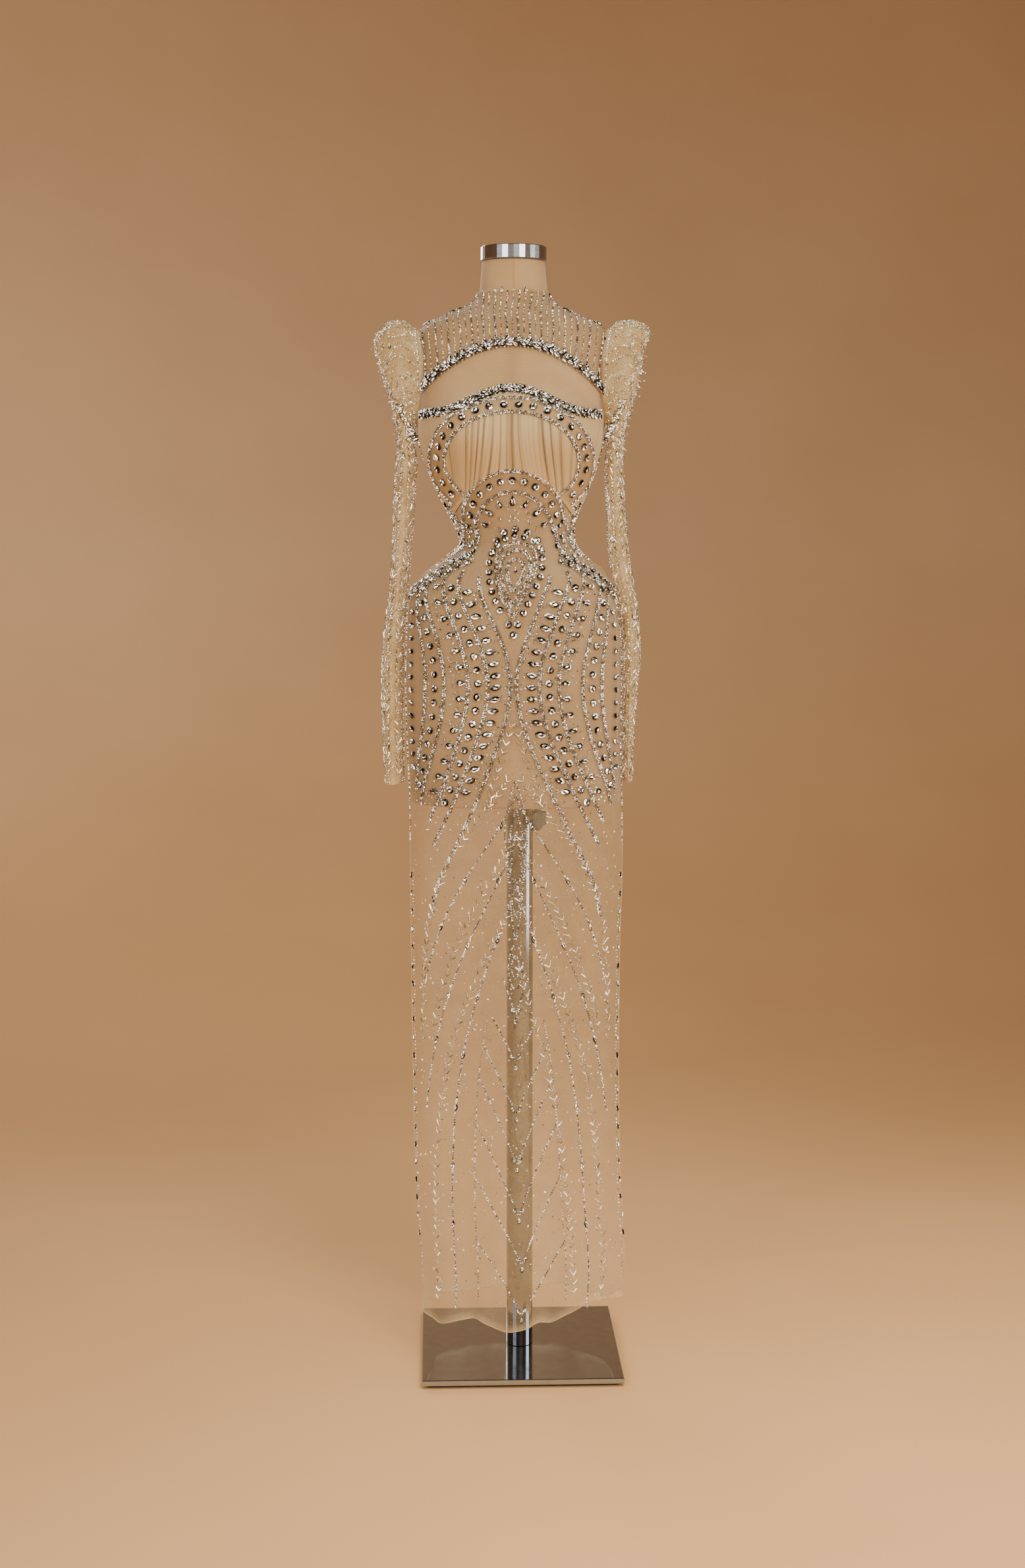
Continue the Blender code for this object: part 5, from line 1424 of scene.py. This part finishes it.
class GOWN_OT_trims(bpy.types.Operator):
    """Sew the two crystal trims along the cut-out"""
    bl_idname = "gown.trims"
    bl_label = "Cut-out trims"

    def execute(self, context):
        stone = context.scene.gown_sizes.rhinestone
        for name, line, seed in (("cut_trim_upper", upper_cut, 11), ("cut_trim_lower", lower_cut, 12)):
            work = Beadwork(seed)

            def cut(part):
                across = TRIM_REACH * (2 * part - 1)
                return across_angle(across, line(across)), line(across)

            path = run(cut, 80)
            for hand, start in ((-1, 0.2), (1, 0.7)):
                for seat in seats_along(path, 10.5 * MM, lift=TRIM_OUT, offset=hand * 3.2 * MM, start=start):
                    lean = hand * work.vary(0.15, 0.85)
                    tip = Matrix.Rotation(work.vary(-0.2, 0.2), 4, 'X')
                    length = work.vary(11.0, 14.0) * MM
                    work.sew("leaf", seat @ tip, length, length * 0.50, 3.0 * MM, lean)
            for seat in seats_along(path, 17.0 * MM, lift=TRIM_OUT + 1.6 * MM):
                work.sew_round(seat, work.vary(5.5, 7.0) * MM, 2.2 * MM)
            for offset, pitch in ((-6.4 * MM, 6.0 * MM), (0.0, 7.0 * MM), (6.4 * MM, 6.0 * MM)):
                work.row(seats_along(path, pitch, lift=TRIM_OUT - 0.2 * MM, offset=offset), stone * 0.9)
            work.make(name + "_stones", nodes=[name])
        return {'FINISHED'}


class GOWN_OT_bust_frame(bpy.types.Operator):
    """Sew the two bands of the bust frame and the round stones between them"""
    bl_idname = "gown.bust_frame"
    bl_label = "Bust frame stones"

    def execute(self, context):
        sizes = context.scene.gown_sizes
        work = Beadwork(21)

        def lane_path(lane, reach=FRAME_END):
            return run(lambda part: frame_place(reach * (2 * part - 1), lane), 110)

        for lane in (0.0, 1.0):
            work.band(lane_path(lane), sizes.rhinestone, skin, FRAME_OUT)
        for seat in seats_along(lane_path(0.5, FRAME_END * 0.97), 21.0 * MM, skin, FRAME_OUT, start=0.35):
            work.sew_round(seat, sizes.round_stone)
        work.make("bust_frame_stones", nodes=["bust_frame"])
        return {'FINISHED'}


class GOWN_OT_waist(bpy.types.Operator):
    """Sew the underbust arches, the hanging drops and the teardrop medallion"""
    bl_idname = "gown.waist"
    bl_label = "Waist and medallion"

    def execute(self, context):
        sizes = context.scene.gown_sizes
        stone, large = sizes.rhinestone, sizes.round_stone
        work = Beadwork(31)

        def scatter(seat):
            work.row([seat], sizes.seed * work.vary(1.0, 1.6))

        for oval in (OUTER_ARCH, INNER_ARCH):
            work.band(run(lambda part: oval_place(oval, math.pi * (part - 0.5)), 60), stone)
        for side in (-1, 1):
            # The tails of both arches, the flank beside them and the single line at the side
            for rule, top, foot, steps, rows in (
                    (outer_tail, OUTER_ARCH[2], WAIST_FOOT, 24, 2),
                    (lambda z: 0.66 + 0.9 * (INNER_ARCH[2] - z), INNER_ARCH[2], 1.226, 16, 2),
                    (lambda z: 0.925 + 0.02 * math.sin((1.30 - z) * 60), 1.298, WAIST_FOOT, 24, 2),
                    (side_line, 1.395, 1.215, 50, 1)):
                work.band(share_path(side, rule, top, foot, steps), stone, rows=rows)
            # Four rows sweep out over the hip, with round stones between them.
            hip = share_path(side, lambda z: 0.60 + 0.39 * clamp((WAIST_FOOT - z) / 0.052) ** 0.7,
                             WAIST_FOOT, 1.160, 40)
            for offset in (-9.0 * MM, -3.2 * MM, 3.2 * MM, 9.0 * MM):
                work.row(seats_along(hip, stone * 1.05, offset=offset), stone)
            for offset, start in ((-6.2 * MM, 0.3), (6.2 * MM, 0.8)):
                for seat in seats_along(hip, 15.0 * MM, lift=SEW_OUT + 0.6 * MM, offset=offset, start=start):
                    work.sew_round(seat, 8.5 * MM, 3.2 * MM)
            for height in (1.345, 1.322, 1.300, 1.279, 1.258, 1.240):
                work.sew_round(share_seat(side, 0.958, height), large * work.vary(0.68, 0.85), 3.2 * MM)
            # Stones of mixed size fill the waist between the tails and the side.
            for number in range(9):
                down = 7.6 * MM * number
                share = 0.70 + 0.085 * math.sin(number * 1.9 + side) + 0.9 * down
                size = work.vary(7.0, 9.5) * MM
                work.sew("round" if number % 3 else "drop", share_seat(side, share, 1.276 - down),
                         size, size * 0.94, 3.2 * MM, work.vary(0, 3))
            for _ in range(120):
                height = work.vary(1.200, 1.300)
                share = work.vary(0.66, 0.98) if height < 1.27 else work.vary(0.86, 0.98)
                scatter(share_seat(side, share, height))
        # Between the arches, then drops inside the inner arch, then a low row under them
        for number in range(11):
            seat = seat_at(*oval_place(ARCH_STONES, math.radians(15.6 * number - 78)))
            work.sew_round(seat, large * work.vary(0.88, 1.02))
        for number in range(7):
            turn = math.radians(26 * number - 78)
            seat = seat_at(*oval_place(ARCH_DROPS, turn), toward=(math.sin(turn), 0, math.cos(turn)))
            work.hang(seat, (16.5 if number % 2 else 14.0) * MM)
        for number in range(7):
            seat = seat_at(*oval_place(LOW_STONES, math.radians(28 * number - 84)))
            work.sew_round(seat, large * (0.92 if 0 < number < 6 else 0.8))
        for _ in range(30):
            turn, reach = work.vary(-1.35, 1.35), work.vary(0.45, 0.98)
            scatter(seat_at(*oval_place((48 * MM * reach, 47 * MM * reach, 1.254), turn)))
        work.make("waist_stones")

        # The medallion: three nested teardrops, one stone at its heart and round stones about it
        work = Beadwork(32)
        for size in (1.0, 0.74, 0.43):
            for away in (-stone / 2, stone / 2):
                ring = run(lambda part: teardrop(0.03 + (math.tau - 0.06) * part, size, away), 90)
                work.row(seats_along(ring, stone * 1.03, skin, DROP_OUT), stone)
        heart = seat_at(*teardrop(math.pi, 0.08), skin, DROP_OUT)
        work.sew("drop", heart, 9.0 * MM, 6.0 * MM, 2.8 * MM, math.pi / 2)
        ring = run(lambda part: teardrop(0.55 + (math.tau - 1.1) * part, 1.0, 10.5 * MM), 90)
        for seat in seats_along(ring, 14.6 * MM, skin, SEW_OUT + 0.4 * MM, start=0.4):
            work.sew_round(seat, large * 0.9)
        for across, height in ((-6.8 * MM, 1.1265), (6.8 * MM, 1.1265), (0.0, 1.1115)):
            work.sew_round(seat_at(across_angle(across, height), height), large)

        def backing(across, up):
            return skin(*teardrop(math.tau * across, 1.06 * up), DROP_OUT - 0.3 * MM)

        bm = shape_grid(72, 14, backing, around=True)
        face_toward(bm, (0, -1, 0))
        patch = finish_piece("medallion_net", bm, "bodice tulle")
        work.make("medallion_stones", nodes=["teardrop_medallion"])
        return {'FINISHED'}


class GOWN_OT_hips(bpy.types.Operator):
    """Sew the hourglass bands of the hips, with leaf, round and drop stones between them"""
    bl_idname = "gown.hips"
    bl_label = "Hip bands"

    def execute(self, context):
        sizes = context.scene.gown_sizes
        stone, large, leaf = sizes.rhinestone, sizes.round_stone, sizes.leaf_stone
        bands, stones = Beadwork(41), Beadwork(42)

        def after_band(number, height, part=0.5):
            """A share of the half width that lies between a band and the next one out."""
            return hourglass(number, height) * (1 - part) + hourglass(number + 1, height) * part

        def heights(low, high, pitch):
            return [high - pitch * step for step in range(int((high - low) / pitch) + 1)]

        for side in (-1, 1):
            for number, (_, _, top, _, foot) in enumerate(HIP_BANDS):
                bands.band(share_path(side, lambda z: hourglass(number, z), top, foot, 90), stone)

            def put(kind, share, height, length, width, tilt=0.0, way=-side):
                stones.sew(kind, share_seat(side, share, height, (way, 0.0, tilt)), length, width, 3.4 * MM)

            # Leaves lie inside the second band, and round stones, drops and round stones beyond it.
            for height in heights(0.872, 1.172, 17 * MM):
                share = hourglass(1, height) - (0.5 * leaf + 3.2 * MM) / half_width(height)
                put("leaf", share, height, leaf * stones.vary(0.9, 1.05), 9.4 * MM, stones.vary(0.05, 0.3))
            for height in heights(0.850, 1.178, 19.5 * MM):
                size = large * stones.vary(0.94, 1.04)
                put("round", after_band(1, height), height, size, size, way=1)
            for height in heights(0.868, 1.180, 23 * MM):
                share = min(0.93, hourglass(2, height) + 9.5 * MM / half_width(height))
                put("drop", share, height, 15.5 * MM, 10.4 * MM, stones.vary(-0.2, 0.2))
            for height in heights(0.880, 1.176, 20.5 * MM):
                size = large * stones.vary(0.9, 1.0)
                put("round", after_band(3, height), height, size, size, way=1)
            for height in heights(0.900, 1.142, 19 * MM):
                put("leaf", 0.935, height, 14.0 * MM, 8.0 * MM, stones.vary(-0.3, 0.3))
            bands.band(share_path(side, side_line, 1.160, 0.800, 90), stone, rows=1)
            # Scattered beads between each band and the next, close to the bands where large stones lie
            for number, count in enumerate((70, 40, 84, 30)):
                for _ in range(count):
                    height = stones.vary(0.86, 1.18)
                    part = stones.chance.choice((0.18, 0.82)) if number % 2 else stones.vary(0.2, 0.8)
                    if number == 0:
                        part = stones.vary(0.15, 0.45)
                    seat = share_seat(side, after_band(number, height, part), height)
                    stones.row([seat], sizes.seed * stones.vary(0.9, 1.3))
        bands.make("hip_bands")
        stones.make("hip_stones")
        return {'FINISHED'}


class GOWN_OT_skirt_beads(bpy.types.Operator):
    """Sew the chains, chevrons, ferns and scattered beads of the skirt"""
    bl_idname = "gown.skirt_beads"
    bl_label = "Skirt beads"

    def execute(self, context):
        sizes = context.scene.gown_sizes
        stone, seed, bugle = sizes.rhinestone, sizes.seed, sizes.bugle
        chains, ferns = Beadwork(51), Beadwork(52)

        def leaf_on(side, share, height, length, toward):
            chains.sew("leaf", share_seat(side, share, height, toward), length, length * 0.5, 2.8 * MM)

        for side in (-1, 1):
            for (top, reach, length, foot), leaves in CHAINS:
                rule = fall_share(top, reach, length)
                chains.row(seats_along(share_path(side, rule, top - 0.004, foot, 90), stone * 1.10), stone)
                for height in leaves:
                    leaf_on(side, rule(height), height, 12.5 * MM, (side * 0.35, 0, -1))
            # A bead line inside the chains, then leaves and a bead line at the side
            path = share_path(side, lambda z: 0.43 * (1 - math.exp(-(0.66 - z) / 0.12)), 0.547, 0.12)
            chains.beads(seats_along(path, 4.4 * MM), seed)
            for step in range(21):
                leaf_on(side, 0.972, 0.750 - 27.5 * MM * step, 10.0 * MM, (side * 0.1, 0, -1))
            ferns.beads(seats_along(share_path(side, lambda z: 0.955, 0.76, 0.13, 90), 5.2 * MM), seed)
            for tip, top_share, top in CHEVRONS:
                def arm(part):
                    height = tip + (top - tip) * part ** 0.92
                    return side * front_angle(top_share * part, height), height
                chains.row(seats_along(run(arm, 30), 3.9 * MM, start=1.2), stone)
                leaf_on(side, 0.032, tip + 9 * MM, 9.5 * MM, (side * 0.6, 0, 1))
        for tip, _, _ in CHEVRONS:
            chains.hang(seat_at(0.0, tip - 6 * MM, toward=UP), 9.5 * MM)

        # Two nested loops at the top of the skirt's middle, with strings on both sides
        wide, tall, middle = LOOP
        for size in (1.0, 0.52):
            def loop(part):
                turn = math.tau * part
                height = middle + tall * size * math.cos(turn)
                return across_angle(wide * size * math.sin(turn) * abs(math.sin(turn)) ** 0.3, height), height
            chains.row(seats_along(run(loop, 50), 3.2 * MM), stone * 0.9)
        for side in (-1, 1):
            for top, reach, foot in STRINGS:
                def string(part):
                    height = top + (foot - top) * part
                    return side * front_angle(reach * math.sin(math.pi * part) + 0.004, height), height
                chains.row(seats_along(run(string, 30), 4.0 * MM), stone * 0.94)

        # Each fern is a bead line with bugles leaning out from it, some with a bead at the tip.
        for top, reach, length, start, foot, sides in FERNS:
            for side in sides:
                path = share_path(side, fall_share(top, reach, length), start, foot, 80)
                ferns.beads(seats_along(path, 4.2 * MM), seed * 0.62)
                for number, seat in enumerate(seats_along(path, 13.5 * MM)):
                    for hand in (-1, 1):
                        leaning = seat @ Matrix.Rotation(hand * ferns.vary(0.5, 0.8), 4, 'Z')
                        if hand < 0 and ferns.chance.random() < 0.25:
                            continue
                        place = leaning @ Matrix.Translation((-0.52 * bugle, 0, 0))
                        ferns.sew("bugle", place, bugle * ferns.vary(0.75, 1.05), 1.7 * MM, 0.85 * MM)
                        if (number + hand) % 2:
                            ferns.beads([leaning @ Matrix.Translation((-1.22 * bugle, 0, 0))], seed * 0.9)

        for _ in range(sizes.scattered):
            height = 0.11 + 0.79 * ferns.chance.random() ** 0.8
            ferns.row([share_seat(1, ferns.vary(-0.95, 0.95), height)], seed * ferns.vary(0.9, 1.3))
        chains.make("skirt_chains")
        ferns.make("skirt_ferns", "glass")
        return {'FINISHED'}


class GOWN_OT_yoke_beads(bpy.types.Operator):
    """Sew the upright crystal columns of the yoke"""
    bl_idname = "gown.yoke_beads"
    bl_label = "Yoke columns"

    def execute(self, context):
        stone = context.scene.gown_sizes.rhinestone
        work = Beadwork(61)
        for number in range(31):
            foot_x = 124 * MM * (number / 15 - 1)
            low = upper_cut(foot_x) + 7.5 * MM
            path = []
            for height in run(lambda part: low + (NECK_EDGE + 1.5 * MM - low) * part, 60):
                x = foot_x * (1 + 0.9 * (height - low))
                if abs(x) > 0.97 * half_width(height):
                    break
                angle = across_angle(x, height)
                if abs(angle) > armhole_angle(height, 1) - 0.02:
                    break
                path.append((angle, height))
            if len(path) < 4:
                continue
            # Columns of fine beads stand between columns of stones, which start from a drop.
            if number % 2:
                work.beads(seats_along(path, 2.5 * MM, skin), 2.1 * MM)
            else:
                work.row(seats_along(path, stone * 1.04, skin), stone * 1.04, rise=0.5)
                foot = seat_at(*path[1], skin, SEW_OUT + 0.5 * MM, UP)
                work.sew("drop", foot, 10.5 * MM, 7.0 * MM, 3.2 * MM)
            if number % 4 == 1:
                work.sew("drop", seat_at(*path[-1], skin, toward=UP), 8.5 * MM, 5.6 * MM, 2.8 * MM)

        def by_armhole(side, part, gap):
            """A place down the armhole's edge, a little way in from it."""
            height = NECK_EDGE - 0.085 * part
            return side * (armhole_angle(height, 1) - gap), height

        for side in (-1, 1):
            line = run(lambda part: by_armhole(side, part, 0.03), 60)
            work.row(seats_along(line, stone, skin), stone * 0.85)
            for part in (0.30, 0.55, 0.8):
                seat = seat_at(*by_armhole(side, part, 0.05), skin, toward=(side, 0, -0.6))
                work.sew("leaf", seat, 10.0 * MM, 4.8 * MM, 2.8 * MM)
        work.make("yoke_columns")
        return {'FINISHED'}


class GOWN_OT_sleeve_beads(bpy.types.Operator):
    """Sew the bead lines, bugle columns and leaf stones of the sleeves"""
    bl_idname = "gown.sleeve_beads"
    bl_label = "Sleeve beads"

    def execute(self, context):
        sizes = context.scene.gown_sizes
        seed, bugle, stone = sizes.seed, sizes.bugle, sizes.rhinestone
        for name, side in SIDE.items():
            surface = sleeve_skin(name)
            work = Beadwork(71 if name == "left" else 72)

            def line(first, last, start, end, sway):
                """A path down the sleeve from one turn and row to another, swaying a little."""
                return run(lambda part: (first + (last - first) * part + sway * math.sin(part * 17.0),
                                         start + (end - start) * part), 90)

            for first, last, start, end, pitch in SLEEVE_LINES:
                path = line(first, last, start, end, 0.05)
                work.row(seats_along(path, pitch * MM, surface, 0.5 * MM), stone * 0.8)
            # Lines that fan down from the sleeve's head, and a ring round its seam
            for number in range(13):
                turn = math.pi * (0.80 + 0.95 * number / 12)
                path = line(turn, turn + 0.18 * math.sin(number * 2.1), 0.15, 3.2 + 2.4 * (number % 3), 0.04)
                size = stone * (0.95 if number % 2 else 0.8)
                work.row(seats_along(path, 3.4 * MM, surface, 0.6 * MM), size)
            ring = run(lambda part: (math.pi * (0.55 + part), 0.25), 60)
            work.row(seats_along(ring, 3.1 * MM, surface, 0.8 * MM), stone)
            for half_turns, hand in BUGLE_COLUMNS:
                turn = math.pi * half_turns
                path = line(turn, turn + 0.05, 2.4, 16.6, 0.06)
                for seat in seats_along(path, 11.5 * MM, surface, 0.5 * MM):
                    if work.chance.random() < 0.14:
                        continue
                    # Across the narrow edges the bugles lie nearly upright, so that none stands out.
                    lean = hand * work.vary(0.3, 0.8) * (0.15 + 0.85 * abs(math.sin(turn)))
                    place = seat @ Matrix.Rotation(lean, 4, 'Z')
                    work.sew("bugle", place, bugle * work.vary(0.7, 1.05), 1.9 * MM, 0.95 * MM)
                    work.beads([place @ Matrix.Translation((0.75 * bugle, 0, 0))], seed * 0.9)
            # Scattered beads: all round the arm, then more on the outer side of the head
            for _ in range(300):
                seat = seat_at(work.vary(0, math.tau), work.vary(1.2, 16.8), surface, 0.4 * MM)
                work.beads([seat], seed * work.vary(0.7, 1.1))
            for _ in range(260):
                seat = seat_at(work.vary(0.6, 1.95) * math.pi, work.vary(0.3, 4.2), surface, 0.6 * MM)
                work.beads([seat], seed * work.vary(0.9, 1.3))
            for half_turns, along in SLEEVE_LEAVES:
                seat = seat_at(half_turns * math.pi, along, surface, 0.6 * MM, (0.25, 0, -1))
                work.sew("leaf", seat, 10.5 * MM, 4.8 * MM, 2.6 * MM)
            # The two trims end in a cluster on the front of the sleeve.
            for number in range(16):
                turn = math.pi * (1.56 + 0.40 * (number % 8) / 7)
                along = 3.75 + 0.42 * (number // 8) + work.vary(-0.08, 0.08)
                seat = seat_at(turn, along, surface, 1.6 * MM, (side, 0, work.vary(-0.9, 0.9)))
                work.sew("leaf", seat, 12.0 * MM, 6.0 * MM, 3.0 * MM)
            cuff = run(lambda part: (math.tau * part, SLEEVE_END - 0.12), 60)
            work.beads(seats_along(cuff, 5.0 * MM, surface, 0.4 * MM), seed * 0.85)
            work.make("sleeve_beads_" + name, "glass")
        return {'FINISHED'}


PIECES = (GOWN_OT_studio, GOWN_OT_stand, GOWN_OT_form, GOWN_OT_skirt, GOWN_OT_bodice, GOWN_OT_sleeves,
          GOWN_OT_zip, GOWN_OT_trims, GOWN_OT_bust_frame, GOWN_OT_waist, GOWN_OT_hips, GOWN_OT_skirt_beads,
          GOWN_OT_yoke_beads, GOWN_OT_sleeve_beads)


class GOWN_PT_pieces(bpy.types.Panel):
    """The gown's pieces, in the order in which they are made"""
    bl_label = "Evening Gown"
    bl_idname = "GOWN_PT_pieces"
    bl_space_type = 'VIEW_3D'
    bl_region_type = 'UI'
    bl_category = "Gown"

    def draw(self, context):
        layout = self.layout
        for group in (context.scene.gown_sizes, context.scene.gown_colours):
            for name in group.bl_rna.properties.keys():
                if name not in ("rna_type", "name"):
                    layout.prop(group, name)
        for piece in PIECES:
            layout.operator(piece.bl_idname, text=piece.bl_label)


CLASSES = (GownColours, GownSizes) + PIECES + (GOWN_PT_pieces,)


def register():
    for made in CLASSES:
        bpy.utils.register_class(made)
    bpy.types.Scene.gown_colours = PointerProperty(type=GownColours)
    bpy.types.Scene.gown_sizes = PointerProperty(type=GownSizes)


def unregister():
    del bpy.types.Scene.gown_sizes
    del bpy.types.Scene.gown_colours
    for made in reversed(CLASSES):
        bpy.utils.unregister_class(made)


def main():
    register()
    for piece in PIECES:
        group, name = piece.bl_idname.split(".")
        getattr(getattr(bpy.ops, group), name)()


if __name__ == "__main__":
    main()
